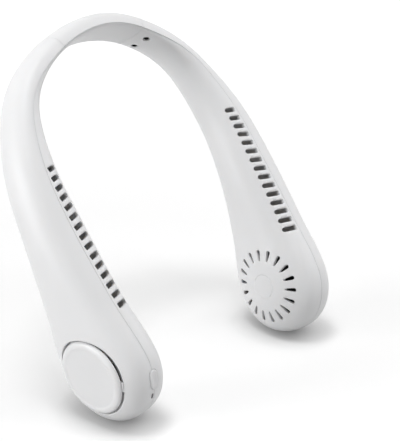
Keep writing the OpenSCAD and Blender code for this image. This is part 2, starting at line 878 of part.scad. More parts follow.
// The tongue of the nape's outer cover, which the screws hold to an arm's root
module tongue() {
    station(screw_station)
        difference() {
            translate([-tongue_back, -tongue_wide / 2, tongue_low])
                cube([tongue_back + tongue_front, tongue_wide, tongue_thick]);
            for (y = [-1, 1])
                translate([0, y * screw_side, tongue_low - over])
                    cylinder(r = shank_radius + thread_clear, h = tongue_thick + 2 * over, $fn = 32);
        }
}

// Ribs that tie the tongue to the outer cover's wall
module tongue_ribs() {
    s = root_station - tie_inset - tie_long / 2;
    high = inside(s, screw_side);
    for (y = [-1, 1])
        station(s)
            translate([0, y * screw_side, high / 2])
                cube([tie_long, rib_thick, high], center = true);
}

module both_sides() {
    for (side = [0, 1])
        mirror([side, 0, 0])
            children();
}

// Distance from the middle of the nape to the post on each side of it
nape_post = root_station / 2;

module nape_outer_cover() {
    color(white)
        posed() {
            nape_half(1);
            both_sides() {
                tongue();
                tongue_ribs();
                post_at(nape_post, 0);
            }
        }
}

module nape_inner_cover() {
    color(white)
        posed() {
            nape_half(-1);
            both_sides()
                socket_at(nape_post, 0);
        }
}

// Intake cap

module sector(outer, inner, span) {
    polygon(concat(arc_points(outer, -span / 2, span / 2, 6), arc_points(inner, span / 2, -span / 2, 6)));
}

module intake_cap() {
    low = cap_face - cap_thick;
    rotate_extrude($fn = 96)
        polygon(concat([[0, low], [cap_radius, low]],
                       arc_points(cap_round, 0, 90, 8, [cap_radius - cap_round, cap_face - cap_round]),
                       [[0, cap_face]]));
    translate([0, 0, well_floor - well_thick])
        cylinder(r = stud_radius, h = low - well_floor + well_thick + over, $fn = 48);
    for (i = [0:2])
        rotate([0, 0, lug_angle + i * 120])
            translate([0, 0, well_floor + seat_gap])
                linear_extrude(lug_high)
                    sector(cap_radius + cap_gap - seat_gap, cap_radius - cap_round, lug_span_angle);
}

// Motor and impeller, in the tip's frame

base_top = base_low + base_thick;
rotor_low = base_top + rotor_lift;
rotor_top = rotor_low + rotor_high;
tube_radius = bearing_radius + tube_wall;
tube_top = rotor_top - rotor_wall - running_gap;
tube_floor = base_low + base_thick / 2;
magnet_inner = rotor_radius - rotor_wall - magnet_thick;
stator_radius = magnet_inner - air_gap;
stator_low = base_top + stator_lift;
stator_hub = tube_radius + tooth_wide;
stator_shoe = stator_radius - tooth_wide / 2;
screw_angles = [0, 120, 240];

module blades(low, high) {
    step = 4;
    for (i = [0:blade_count - 1])
        rotate([0, 0, i * 360 / blade_count])
            translate([0, 0, low])
                linear_extrude(high - low)
                    polygon(concat(
                        [for (k = [0:step]) blade_point(k / step, -blade_thick / 2)],
                        [for (k = [step:-1:0]) blade_point(k / step, blade_thick / 2)]));
}

// A point on a blade, which leans forward as it goes outwards
function blade_point(share, offset) =
    let (r = blade_inner + (impeller_radius - ring_wide / 4 - blade_inner) * share,
         a = sweep_angle * pow(share, 2) + offset * 180 / (PI * r))
    [r * cos(a), r * sin(a)];

module impeller() {
    plate_low = rotor_top;
    difference() {
        union() {
            translate([0, 0, rotor_low + seat_gap])
                cylinder(r = hub_radius, h = plate_low + 2 * plate_thick - rotor_low - seat_gap, $fn = 72);
            translate([0, 0, plate_low])
                cylinder(r = impeller_radius, h = plate_thick, $fn = 96);
        }
        translate([0, 0, rotor_low - over])
            cylinder(r = rotor_radius, h = plate_low - rotor_low + over, $fn = 72);
        translate([0, 0, rotor_low])
            cylinder(r = shaft_radius, h = rotor_high + plate_thick, $fn = 32);
    }
    blades(impeller_low, impeller_high);
    translate([0, 0, impeller_low])
        ring(impeller_radius, impeller_radius - ring_wide, plate_thick);
    translate([0, 0, impeller_high - plate_thick])
        ring(impeller_radius, impeller_radius - ring_wide, plate_thick);
}

module rotor_cup() {
    translate([0, 0, rotor_low])
        difference() {
            cylinder(r = rotor_radius, h = rotor_high, $fn = 72);
            translate([0, 0, -over])
                cylinder(r = rotor_radius - rotor_wall, h = rotor_high - rotor_wall + over, $fn = 72);
            cylinder(r = shaft_radius, h = rotor_high + over, $fn = 32);
        }
}

module magnet_ring() {
    translate([0, 0, stator_low + (stator_high - magnet_high) / 2])
        ring(rotor_radius - rotor_wall, magnet_inner, magnet_high);
}

module motor_shaft() {
    low = tube_floor + running_gap;
    translate([0, 0, low])
        cylinder(r = shaft_radius, h = rotor_top + plate_thick - low, $fn = 32);
}

module shaft_bearings() {
    for (z = [tube_floor, tube_top - bearing_long])
        translate([0, 0, z])
            difference() {
                cylinder(r = bearing_radius, h = bearing_long, $fn = 48);
                translate([0, 0, -over])
                    cylinder(r = shaft_radius + shaft_clear, h = bearing_long + 2 * over, $fn = 32);
            }
}

module motor_base() {
    difference() {
        union() {
            translate([0, 0, base_low])
                cylinder(r = base_radius, h = base_thick, $fn = 96);
            translate([0, 0, base_low])
                cylinder(r = tube_radius, h = tube_top - base_low, $fn = 48);
        }
        translate([0, 0, tube_floor])
            cylinder(r = bearing_radius, h = tube_top - tube_floor + over, $fn = 48);
        for (a = screw_angles)
            rotate([0, 0, a])
                translate([base_screw_ring, 0, base_low - over])
                    cylinder(r = small_shank + screw_clear, h = base_thick + 2 * over, $fn = 24);
    }
}

module stator_core() {
    translate([0, 0, stator_low])
        linear_extrude(stator_high)
            difference() {
                union() {
                    circle(stator_hub, $fn = 64);
                    for (i = [0:tooth_count - 1])
                        rotate(i * 360 / tooth_count) {
                            translate([0, -tooth_wide / 2])
                                square([stator_shoe + tooth_wide / 4, tooth_wide]);
                            sector(stator_radius, stator_shoe, 240 / tooth_count);
                        }
                }
                circle(tube_radius + shaft_clear, $fn = 64);
            }
}

module stator_coils() {
    inner = stator_hub + seat_gap;
    half = tooth_wide / 2 + coil_thick;
    long = sqrt(pow(stator_shoe - seat_gap, 2) - pow(half, 2)) - inner;
    for (i = [0:tooth_count - 1])
        rotate([0, 0, i * 360 / tooth_count])
            translate([inner + long / 2, 0, stator_low + stator_high / 2])
                difference() {
                    cube([long, 2 * half, stator_high + 2 * coil_thick], center = true);
                    cube([long + over, tooth_wide + seat_gap, stator_high + seat_gap], center = true);
                }
}

module motor_screw_set() {
    for (a = screw_angles)
        rotate([0, 0, a])
            translate([base_screw_ring, 0, 0]) {
                translate([0, 0, base_top - small_long])
                    cylinder(r = small_shank, h = small_long + small_head_high / 2, $fn = 24);
                translate([0, 0, base_top])
                    cylinder(r = small_head, h = small_head_high, $fn = 32);
            }
}

// Battery, divider and electronics

module battery_cell() {
    station(cell_station)
        translate([0, -cell_side, -cell_drop])
            rounded_bar(cell_long, cell_wide, cell_thick, cell_round);
}

module duct_divider() {
    w = half_width(divider_station) - wall - divider_clear;
    t = half_thick(divider_station) - wall - divider_clear;
    station(divider_station)
        rotate([0, 90, 0])
            linear_extrude(divider_thick, center = true)
                difference() {
                    polygon([for (i = [0:35])
                        let (a = i * 10, c = abs(cos(a)) < 0.001 ? 0 : cos(a))
                        [-sign(c) * t * pow(abs(c), 2 / section_exponent), w * sin(a)]]);
                    translate([0, wire_side])
                        circle(wire_radius + divider_clear, $fn = 24);
                }
}

module control_board() {
    color(board_green)
        posed()
            left()
                station(board_station)
                    translate([0, board_side, board_low]) {
                        translate([-board_long / 2, -board_wide / 2, 0])
                            cube([board_long, board_wide, board_thick]);
                        for (c = chip_shares)
                            translate([c[0] * board_long - c[2] * board_wide / 2,
                                       c[1] * board_wide - c[2] * board_wide / 2, board_thick])
                                cube([c[2] * board_wide, c[2] * board_wide, chip_high]);
                    }
}

// Chips on the control board: place along and across it, and side, as shares of the board
chip_shares = [[-0.34, 0.05, 0.5], [-0.18, -0.28, 0.3], [0.3, 0.1, 0.42], [0.42, -0.25, 0.24]];

module charging_socket() {
    mouth = half_width(socket_station) - socket_inset;
    color(steel)
        posed()
            left()
                station(socket_station)
                    translate([0, mouth - socket_deep, 0])
                        rotate([-90, 0, 0]) {
                            difference() {
                                linear_extrude(socket_deep)
                                    stadium(socket_wide + 2 * socket_wall, socket_high + 2 * socket_wall);
                                translate([0, 0, 2 * socket_wall])
                                    linear_extrude(socket_deep)
                                        stadium(socket_wide, socket_high);
                            }
                            translate([-socket_tongue / 2, -socket_tongue_thick / 2, 0])
                                cube([socket_tongue, socket_tongue_thick, socket_tongue_long]);
                        }
}

// Power button, in the rim's frame
flange_outer = tip_radius - wall - flange_gap;
flange_inner = flange_outer - flange_thick;
plunger_end = flange_inner - button_travel - seat_gap;
switch_low = plunger_end - plunger_high - switch_high;
board_radius = switch_low - board_thick;

module button_board() {
    color(board_green)
        posed()
            left()
                rim(-button_angle)
                    translate([board_radius, -button_board_long / 2, -button_board_wide / 2])
                        cube([board_thick, button_board_long, button_board_wide]);
}

module tactile_switch() {
    color(dark_grey)
        posed()
            left()
                rim(-button_angle) {
                    translate([switch_low, -switch_side / 2, -switch_side / 2])
                        cube([switch_high, switch_side, switch_side]);
                    translate([switch_low, 0, 0])
                        rotate([0, 90, 0])
                            cylinder(r = plunger_radius, h = switch_high + plunger_high, $fn = 32);
                }
}

module power_button() {
    color(white)
        posed()
            left() {
                intersection() {
                    rim(-button_angle)
                        translate([flange_outer - flange_thick / 2, 0, 0])
                            rotate([90, 0, 90])
                                linear_extrude(tip_radius)
                                    stadium(button_long, button_wide);
                    tip()
                        translate([0, 0, -tip_thick / 2])
                            cylinder(r = tip_radius + button_proud, h = tip_thick, $fn = 128);
                }
                rim(-button_angle)
                    translate([flange_inner, 0, 0])
                        rotate([90, 0, 90])
                            linear_extrude(flange_thick)
                                stadium(button_long + 2 * flange_lip, button_wide + 2 * flange_lip);
            }
}

module light_guide() {
    color(clear_grey)
        posed()
            left()
                rim(-light_angle)
                    translate([flange_outer, 0, light_side])
                        rotate([90, 0, 90])
                            linear_extrude(tip_radius - flange_outer)
                                stadium(light_long, light_wide);
}

// Wiring

function smooth(share) = let (t = min(max(share, 0), 1)) t * t * (3 - 2 * t);
function blend(from, to, share) = from + (to - from) * share;

// A point inside the band: s along it, y across it and z outwards from its middle
function band_place(s, y, z) =
    let (d = abs(s), p = centre(d) + across(d) * y + outward(d) * z)
    [s < 0 ? -p[0] : p[0], p[1], p[2]];

tube_sides = 8;

// A tube of radius r along a list of points
module tube(path, r) {
    last = len(path) - 1;
    loops = [for (i = [0:last])
        let (t = unit(path[min(i + 1, last)] - path[max(i - 1, 0)]),
             n = unit(cross(t, [0.1, 1, 0.1])), b = cross(t, n))
        for (k = [0:tube_sides - 1])
            path[i] + r * (cos(k * 360 / tube_sides) * n + sin(k * 360 / tube_sides) * b)];
    walls = [for (i = [0:last - 1]) for (k = [0:tube_sides - 1])
        for (f = quad(i * tube_sides + k, (i + 1) * tube_sides + k,
                      (i + 1) * tube_sides + (k + 1) % tube_sides, i * tube_sides + (k + 1) % tube_sides)) f];
    start_cap = [for (k = [1:tube_sides - 2]) [0, k, k + 1]];
    base = last * tube_sides;
    end_cap = [for (k = [1:tube_sides - 2]) [base, base + k + 1, base + k]];
    polyhedron(loops, concat(walls, start_cap, end_cap));
}

// Where a motor's lead meets its base
lead_end = band_reach - base_radius - lead_gap;
lead_low = base_low + base_thick / 2;
lead_side = base_radius / 4;

// From the control board in the left arm, over the nape, to the motor in the right tip
module wire_harness() {
    start = board_long / 2 + lead_gap - board_station;
    steps = 76;
    dip_from = band_reach - tip_radius - impeller_radius;
    dip_long = lead_end - lead_level - dip_from;
    path = [for (i = [0:steps])
        let (s = blend(start, lead_end, i / steps), down = smooth((s - dip_from) / dip_long))
        band_place(s, blend(wire_side, lead_side, down), blend(0, lead_low, down))];
    color(dark_grey)
        posed()
            tube(path, wire_radius);
}

module left_motor_lead() {
    start = board_station + board_long / 2 + lead_gap;
    steps = 10;
    path = [for (i = [0:steps])
        let (s = blend(start, lead_end, i / steps), down = smooth(i / (steps - 2)))
        band_place(s, blend(board_side, lead_side, down),
                   blend(board_low + board_thick / 2, lead_low, down))];
    color(dark_grey)
        posed()
            left()
                tube(path, wire_radius);
}

// Round the impeller, from the control board to the button board
module button_lead() {
    start = band_reach - board_station - board_long / 2 - lead_gap - wire_radius / 2;
    end_x = board_radius + board_thick / 2;
    end_y = button_board_long / 2 + lead_gap;
    end_angle = 360 - button_angle - atan(end_y / end_x);
    end_r = norm([end_x, end_y]);
    start_y = board_side - board_wide / 3;
    start_angle = 180 - atan(start_y / start);
    start_r = norm([start, start_y]);
    steps = 18;
    path = [for (i = [0:steps])
        let (k = i / steps, a = blend(start_angle, end_angle, k), r = blend(end_r, start_r, pow(1 - k, 2.6)))
        [r * cos(a), r * sin(a), blend(board_low + board_thick / 2, 0, smooth(k))]];
    color(dark_grey)
        posed()
            left()
                tip()
                    tube(path, wire_radius);
}

// From the upper end of each battery cell to the harness
module battery_leads() {
    start = cell_station - cell_long / 2 - lead_gap - wire_radius / 2;
    steps = 8;
    path = [for (i = [0:steps])
        let (k = i / steps)
        band_place(start - k * lead_level * 2,
                   blend(0, wire_side - 2 * wire_radius - seat_gap, smooth(k)), blend(-cell_drop, 0, k))];
    color(dark_grey)
        posed()
            both_sides()
                tube(path, wire_radius);
}

// Screws

module nape_screws() {
    color(steel)
        posed()
            both_sides()
                screw_places()
                    difference() {
                        union() {
                            translate([0, 0, recess_floor - head_high])
                                cylinder(r = head_radius, h = head_high, $fn = 48);
                            translate([0, 0, recess_floor - head_high / 2])
                                cylinder(r = shank_radius, h = shank_long + head_high / 2, $fn = 32);
                        }
                        for (a = [0, 90])
                            rotate([0, 0, a])
                                translate([-cross_long / 2, -cross_wide / 2, recess_floor - head_high - over])
                                    cube([cross_long, cross_wide, over + cross_deep]);
                    }
}

module motor_screws() {
    color(steel)
        posed()
            both_sides()
                tip()
                    motor_screw_set();
}

// Parts that both tips or both arms have

module on_right(tint) {
    color(tint)
        posed()
            children();
}

module on_left(tint) {
    color(tint)
        posed()
            left()
                children();
}

module left_intake_cap() {
    on_left(white)
        tip()
            intake_cap();
}

module right_intake_cap() {
    on_right(white)
        tip()
            intake_cap();
}

module left_impeller() {
    on_left(dark_grey)
        tip()
            impeller();
}

module right_impeller() {
    on_right(dark_grey)
        tip()
            impeller();
}

module left_rotor_cup() {
    on_left(steel)
        tip()
            rotor_cup();
}

module right_rotor_cup() {
    on_right(steel)
        tip()
            rotor_cup();
}

module left_magnet_ring() {
    on_left(dark_grey)
        tip()
            magnet_ring();
}

module right_magnet_ring() {
    on_right(dark_grey)
        tip()
            magnet_ring();
}

module left_motor_shaft() {
    on_left(steel)
        tip()
            motor_shaft();
}

module right_motor_shaft() {
    on_right(steel)
        tip()
            motor_shaft();
}

module left_shaft_bearings() {
    on_left(brass)
        tip()
            shaft_bearings();
}

module right_shaft_bearings() {
    on_right(brass)
        tip()
            shaft_bearings();
}

module left_motor_base() {
    on_left(white)
        tip()
            motor_base();
}

module right_motor_base() {
    on_right(white)
        tip()
            motor_base();
}

module left_stator_core() {
    on_left(steel)
        tip()
            stator_core();
}

module right_stator_core() {
    on_right(steel)
        tip()
            stator_core();
}

module left_stator_coils() {
    on_left(copper)
        tip()
            stator_coils();
}

module right_stator_coils() {
    on_right(copper)
        tip()
            stator_coils();
}

module left_battery_cell() {
    on_left(silver)
        battery_cell();
}

module right_battery_cell() {
    on_right(silver)
        battery_cell();
}

module left_duct_divider() {
    on_left(dark_grey)
        duct_divider();
}

module right_duct_divider() {
    on_right(dark_grey)
        duct_divider();
}

nape_outer_cover();
nape_inner_cover();
left_arm_outer_shell();
left_arm_inner_shell();
right_arm_outer_shell();
right_arm_inner_shell();
left_intake_cap();
right_intake_cap();
left_impeller();
right_impeller();
left_rotor_cup();
right_rotor_cup();
left_magnet_ring();
right_magnet_ring();
left_motor_shaft();
right_motor_shaft();
left_shaft_bearings();
right_shaft_bearings();
left_motor_base();
right_motor_base();
left_stator_core();
right_stator_core();
left_stator_coils();
right_stator_coils();
left_battery_cell();
right_battery_cell();
left_duct_divider();
right_duct_divider();
control_board();
charging_socket();
button_board();
tactile_switch();
power_button();
light_guide();
wire_harness();
battery_leads();
left_motor_lead();
button_lead();
nape_screws();
motor_screws();
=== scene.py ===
from math import cos, pi, radians, sin, sqrt

import bmesh
import bpy
from mathutils import Matrix, Vector


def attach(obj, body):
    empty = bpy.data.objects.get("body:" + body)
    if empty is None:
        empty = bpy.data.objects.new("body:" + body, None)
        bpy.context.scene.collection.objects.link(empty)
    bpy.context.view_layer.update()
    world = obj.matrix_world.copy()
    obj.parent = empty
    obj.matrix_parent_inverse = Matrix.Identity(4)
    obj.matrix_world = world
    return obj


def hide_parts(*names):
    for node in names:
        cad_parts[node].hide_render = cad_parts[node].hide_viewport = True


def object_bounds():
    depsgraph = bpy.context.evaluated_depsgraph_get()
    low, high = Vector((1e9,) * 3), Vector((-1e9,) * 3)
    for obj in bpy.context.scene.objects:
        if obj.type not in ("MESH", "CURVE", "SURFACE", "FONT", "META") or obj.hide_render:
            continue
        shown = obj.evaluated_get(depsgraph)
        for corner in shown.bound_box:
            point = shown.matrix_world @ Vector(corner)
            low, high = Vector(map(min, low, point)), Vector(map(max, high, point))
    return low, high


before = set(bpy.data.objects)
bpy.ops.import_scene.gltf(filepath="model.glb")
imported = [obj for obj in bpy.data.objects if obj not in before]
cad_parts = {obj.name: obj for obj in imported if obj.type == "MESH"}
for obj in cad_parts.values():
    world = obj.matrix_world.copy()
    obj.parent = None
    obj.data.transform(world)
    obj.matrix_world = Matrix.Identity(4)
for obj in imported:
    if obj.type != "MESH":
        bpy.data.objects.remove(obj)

cad_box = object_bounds()
scene = bpy.context.scene
scene.view_settings.view_transform = "Standard"


# The camera stands in front of the left arm, a little above it, and looks down at the fan.
# It sees the left arm's outer face and the right arm's inner face.
camera_place = Vector((-0.46844, -0.51549, 0.16813))
camera_aim = Vector((0.68161, 0.63025, -0.37175))
camera_roll = radians(-0.22)
photo_long_side = 441
focal_pixels = 1272.1
sensor = 36.0
nearest_seen = 0.01


def set_down(name, data):
    """A new object in the scene."""
    item = bpy.data.objects.new(name, data)
    scene.collection.objects.link(item)
    return item


lens = bpy.data.cameras.new("camera")
lens.sensor_width = sensor
lens.lens = sensor * focal_pixels / photo_long_side
lens.clip_start = nearest_seen
camera = set_down("camera", lens)
turn = camera_aim.to_track_quat("-Z", "Y").to_matrix().to_4x4()
camera.matrix_world = Matrix.Translation(camera_place) @ turn @ Matrix.Rotation(camera_roll, 4, "Z")
scene.camera = camera


# A white floor under the two tips, a pale studio round it, and five soft square lamps: above, in front, at
# the right and two at the left. The floor shows white to the camera and in reflections. It keeps the fan's
# shadow, and its colour is darkened as painted shade where the tips stand on it.
floor_height = cad_box[0].z
floor_reach = 4.0
floor_white = 0.95
floor_bounce = 0.6
floor_roughness = 0.8
floor_shine = 0.1
floor_glows = (0.09, 0.5)
glow_rise = (0.25, 0.9)
painted_shade_reach = 0.018
painted_shade_share = 0.5
world_light = 0.38
lamps = [
    ("overhead", (-0.3, -0.1, 1.5), 0.5, 8.0),
    ("front", (0.2, -0.9, 1.9), 1.0, 7.5),
    ("right", (1.1, -0.9, 0.9), 1.2, 6.0),
    ("left", (-1.6, 0.15, 0.55), 1.1, 1.3),
    ("low left", (-1.4, 0.6, 0.15), 0.8, 11.5),
]


class Amount:
    """A number, direction or colour in a node tree. Sums and products add the nodes that work them out."""

    def __init__(self, socket):
        self.socket = socket
        self.tree = socket.id_data

    __add__ = lambda self, other: worked_out("ADD", self, other)
    __radd__ = lambda self, other: worked_out("ADD", other, self)
    __sub__ = lambda self, other: worked_out("SUBTRACT", self, other)
    __rsub__ = lambda self, other: worked_out("SUBTRACT", other, self)
    __mul__ = lambda self, other: worked_out("MULTIPLY", self, other)
    __rmul__ = lambda self, other: worked_out("MULTIPLY", other, self)
    __truediv__ = lambda self, other: worked_out("DIVIDE", self, other)
    __rtruediv__ = lambda self, other: worked_out("DIVIDE", other, self)
    __pow__ = lambda self, other: worked_out("POWER", self, other)
    __lt__ = lambda self, other: worked_out("LESS_THAN", self, other)


def feed(socket, value):
    """Gives a node's socket a value, or a link to where the value is worked out."""
    if isinstance(value, Amount):
        value.tree.links.new(value.socket, socket)
    else:
        socket.default_value = value


def made(tree, kind, inputs, output=None, **settings):
    """Adds a node to a tree, with its settings and inputs, and gives its first or a named output."""
    node = tree.nodes.new(kind)
    for key, value in settings.items():
        setattr(node, key, value)
    for key, value in inputs.items():
        feed(next(s for s in node.inputs if s.enabled and s.name == key), value)
    return Amount(node.outputs[output] if output else next(s for s in node.outputs if s.enabled))


def worked_out(operation, *values):
    """Adds the node for an operation, in vector math where one of its values is a direction."""
    amounts = [v for v in values if isinstance(v, Amount)]
    directions = [v for v in amounts if v.socket.type == "VECTOR"]
    if directions and operation == "MULTIPLY":
        scale = values[1] if values[0] is directions[0] else values[0]
        inputs = {"Vector": directions[0], "Scale": scale}
        return made(directions[0].tree, "ShaderNodeVectorMath", inputs, operation="SCALE")
    node = amounts[0].tree.nodes.new("ShaderNodeVectorMath" if directions else "ShaderNodeMath")
    node.operation = operation
    for socket, value in zip(node.inputs, values):
        feed(socket, value)
    return Amount(next(s for s in node.outputs if s.enabled))


def ramped(value, start, end, first=0.0, last=1.0):
    """Goes straight from first to last while the value goes from start to end, and stays level beyond."""
    inputs = {"Value": value, "From Min": start, "From Max": end, "To Min": first, "To Max": last}
    return made(value.tree, "ShaderNodeMapRange", inputs)


def blended(share, low, high):
    """A colour between two, by a share from 0 to 1."""
    tree = next(v.tree for v in (share, low, high) if isinstance(v, Amount))
    low, high = (v if isinstance(v, Amount) else (*v, 1.0) for v in (low, high))
    return made(tree, "ShaderNodeMix", {"Factor": share, "A": low, "B": high}, data_type="RGBA")


def set_on(paint, values):
    """Feeds values to the sockets of a paint's shader."""
    for name, value in values.items():
        feed(paint.node_tree.nodes["Principled BSDF"].inputs[name], value)


def finish_of(name, colour, roughness, metallic=0.0, specular=0.5):
    """A new paint with its plain values set, and the object's own place to hang patterns on."""
    paint = bpy.data.materials.new(name)
    paint.use_nodes = True
    set_on(paint, {"Base Color": (*colour, 1.0), "Roughness": roughness, "Metallic": metallic,
                   "Specular IOR Level": specular})
    return paint, made(paint.node_tree, "ShaderNodeTexCoord", {}, "Object")


def seen_directly(tree):
    """1 for what the camera sees straight on, in a reflection or through something clear."""
    path = tree.nodes.new("ShaderNodeLightPath")
    rays = [Amount(path.outputs[name]) for name in ("Is Camera Ray", "Is Glossy Ray", "Is Transmission Ray")]
    return worked_out("MAXIMUM", worked_out("MAXIMUM", rays[0], rays[1]), rays[2])


def floor_paint():
    paint, place = finish_of("floor_white", [floor_white] * 3, floor_roughness, 0.0, floor_shine)
    seen = seen_directly(paint.node_tree)
    tone = ramped(seen, 0.0, 1.0, floor_bounce, floor_white)
    # Painted shade: an occlusion node darkens the floor's colour near the tips.
    inputs = {"Color": tone, "Distance": painted_shade_reach}
    painted_contact_shade = made(tone.tree, "ShaderNodeAmbientOcclusion", inputs, "Color")
    glow = ramped(worked_out("LENGTH", place), *glow_rise, *floor_glows)
    set_on(paint, {"Base Color": blended(painted_shade_share, tone, painted_contact_shade), "Emission Strength": glow * seen,
                   "Emission Color": (1.0, 1.0, 1.0, 1.0)})
    return paint


floor_mesh = bpy.data.meshes.new("floor")
corners = [(x * floor_reach, y * floor_reach, floor_height)
           for x, y in ((-1, -1), (1, -1), (1, 1), (-1, 1))]
floor_mesh.from_pydata(corners, [], [(0, 1, 2, 3)])
floor_mesh.materials.append(floor_paint())
floor = set_down("floor", floor_mesh)

sky = bpy.data.worlds.new("studio")
scene.world = sky
sky.use_nodes = True
backdrop = sky.node_tree.nodes["Background"]
backdrop.inputs["Color"].default_value = (1.0, 1.0, 1.0, 1.0)
feed(backdrop.inputs["Strength"], ramped(seen_directly(sky.node_tree), 0.0, 1.0, world_light, 1.0))

fan_middle = (cad_box[0] + cad_box[1]) / 2
for name, place, side, power in lamps:
    light = bpy.data.lights.new(name, "AREA")
    light.shape = "SQUARE"
    light.size = side
    light.energy = power
    lamp = set_down(name, light)
    lamp.location = Vector(place)
    lamp.rotation_mode = "QUATERNION"
    lamp.rotation_quaternion = (fan_middle - lamp.location).to_track_quat("-Z", "Y")


# The arms and the nape are moulded shells of satin white plastic, 2 mm thick, an outer and an inner half
# for each. The halves meet with a hairline gap at mid-thickness, which drops towards the inner face near
# the nape. All follow one curved band, in millimetres in the frame of the upright right arm.
millimetre = 0.001
lean = radians(30)
band_reach = 217.0
bends = [(76.0, radians(40.5)), (56.5, radians(26)), (124.0, radians(22.5))]
toe_turn = radians(7.5)
side_bow = 0.8
side_wave = 5.2
band_widths = [29, 25, 25, 28, 33, 45.5, 59.74]
band_thicks = [11.5, 11.5, 16.5, 24.5, 30.5, 31.98, 34.98]
tip_radius = band_widths[-1] / 2
section_exponent = 2.7
wall = 2.0
core_inset = 1.2
seam = 0.07
edge_radius = 0.14
edge_turns = [radians(a) for a in (0, 30, 60, 90)]
crease_lean = 0.2
crease_ends = (50, 110)
crease_drop = -3.2
crease_step = 0.15
drop_ends = (34, 84)
nape_squareness = 0.7
root_station = 31.0
arm_rows = 150
tip_rows = 34
nape_rows = 52
core_rows = 60
columns = 60
edge_columns = 4
weld_reach = 0.0003
loose_reach = 0.001
satin_white = (0.82, 0.82, 0.825)
flow_size = 0.03
glow_depth = 0.003
glow_tint = (1.0, 0.95, 0.9)


def chosen(test, yes, no):
    return no + (yes - no) * test


def parts_of(direction):
    """The X, Y and Z of a direction."""
    node = direction.tree.nodes.new("ShaderNodeSeparateXYZ")
    feed(node.inputs[0], direction)
    return [Amount(output) for output in node.outputs]


def plain_mesh(item, *helpers):
    """The mesh that an object's modifiers leave. The object and its helpers go."""
    mesh = bpy.data.meshes.new_from_object(item.evaluated_get(bpy.context.evaluated_depsgraph_get()))
    for used in (item, *helpers):
        bpy.data.objects.remove(used)
    return mesh


def faces_out(mesh):
    """Turns a closed mesh's faces outwards."""
    shape = bmesh.new()
    shape.from_mesh(mesh)
    if shape.calc_volume(signed=True) < 0:
        bmesh.ops.reverse_faces(shape, faces=shape.faces)
    shape.to_mesh(mesh)
    shape.free()
    return mesh


class Recipe:
    """A geometry nodes tree with named inputs, which turns a guide mesh into a piece."""

    def __init__(self, name):
        self.tree = bpy.data.node_groups.new(name, "GeometryNodeTree")
        self.start = self.tree.nodes.new("NodeGroupInput")
        self.end = self.tree.nodes.new("NodeGroupOutput")
        self.guide = self.asked("Guide", "Geometry")
        self.tree.interface.new_socket("Piece", in_out="OUTPUT", socket_type="NodeSocketGeometry")

    def asked(self, name, kind="Float"):
        self.tree.interface.new_socket(name, in_out="INPUT", socket_type="NodeSocket" + kind)
        return Amount(self.start.outputs[name])

    def made(self, kind, inputs, output=None, **settings):
        return made(self.tree, kind, inputs, output, **settings)

    def kept(self, name, kind="FLOAT_VECTOR"):
        return self.made("GeometryNodeInputNamedAttribute", {"Name": name}, data_type=kind)

    def of_row(self, value, row, kind="FLOAT_VECTOR"):
        """The value at the guide point that a row belongs to."""
        inputs = {"Geometry": self.guide, "Value": value, "Index": row}
        return self.made("GeometryNodeSampleIndex", inputs, data_type=kind, domain="POINT")

    def grid(self, across, rows):
        """A flat grid, each point's share of the way across it, and the point's row."""
        sizes = {"Size X": 1, "Size Y": 1, "Vertices X": across, "Vertices Y": rows}
        flat = self.made("GeometryNodeMeshGrid", sizes)
        x, y, z = parts_of(self.made("GeometryNodeInputPosition", {}))
        return flat, x + 0.5, worked_out("ROUND", (y + 0.5) * (rows - 1))

    def copies(self, shape):
        """A copy of an object at each guide point, turned to the point's two directions."""
        ways = {"Primary Axis": self.kept("out"), "Secondary Axis": self.kept("up")}
        turn = self.made("FunctionNodeAxesToRotation", ways, primary_axis="Z", secondary_axis="Y")
        copied = self.made("GeometryNodeObjectInfo", {"Object": shape}, "Geometry")
        inputs = {"Points": self.guide, "Instance": copied, "Rotation": turn}
        return self.made("GeometryNodeInstanceOnPoints", inputs)

    def finished(self, piece, paint):
        piece = self.made("GeometryNodeRealizeInstances", {"Geometry": piece})
        piece = self.made("GeometryNodeSetMaterial", {"Geometry": piece, "Material": paint})
        feed(self.end.inputs[0], piece)

    def finished_grid(self, grid, place, paint):
        """Lays a grid's points in place and welds its rims."""
        laid = self.made("GeometryNodeSetPosition", {"Geometry": grid, "Position": place})
        welded = self.made("GeometryNodeMergeByDistance", {"Geometry": laid, "Distance": weld_reach})
        self.finished(welded, paint)

    def grown(self, guide, inputs):
        """The plain mesh that the tree makes from a guide mesh."""
        item = set_down("guide", guide)
        modifier = item.modifiers.new("grown", "NODES")
        modifier.node_group = self.tree
        for socket in self.tree.interface.items_tree:
            if socket.in_out == "INPUT" and socket.name in inputs:
                modifier[socket.identifier] = inputs[socket.name]
        return faces_out(plain_mesh(item))


def guide_mesh(points):
    """One vertex for each point, which keeps the point's numbers and directions as attributes."""
    mesh = bpy.data.meshes.new("guide")
    mesh.from_pydata([p.get("place", Vector()) for p in points], [], [])
    for name, first in points[0].items():
        if isinstance(first, Vector):
            kind, field = "FLOAT_VECTOR", "vector"
            values = [part for p in points for part in p[name]]
        else:
            kind, field = "FLOAT", "value"
            values = [p[name] for p in points]
        mesh.attributes.new(name, kind, "POINT").data.foreach_set(field, values)
    return mesh


def centre_line(s):
    """The band's middle at s along it from the middle of the nape, and its heading there."""
    last_radius = (band_reach - sum(r * a for r, a in bends)) / toe_turn
    left = min(s, band_reach)
    heading = 0.0
    x = z = 0.0
    for radius, angle in bends + [(last_radius, toe_turn)]:
        step = min(left / radius, angle)
        x += radius * (sin(heading + step) - sin(heading))
        z += radius * (cos(heading + step) - cos(heading))
        heading += step
        left -= step * radius
    share = pi * min(s, band_reach) / band_reach
    sway = sin(share) ** 2 * (side_bow + side_wave * cos(share))
    past = max(0.0, s - band_reach)
    return Vector((x + past * cos(heading), sway, z - past * sin(heading))), heading


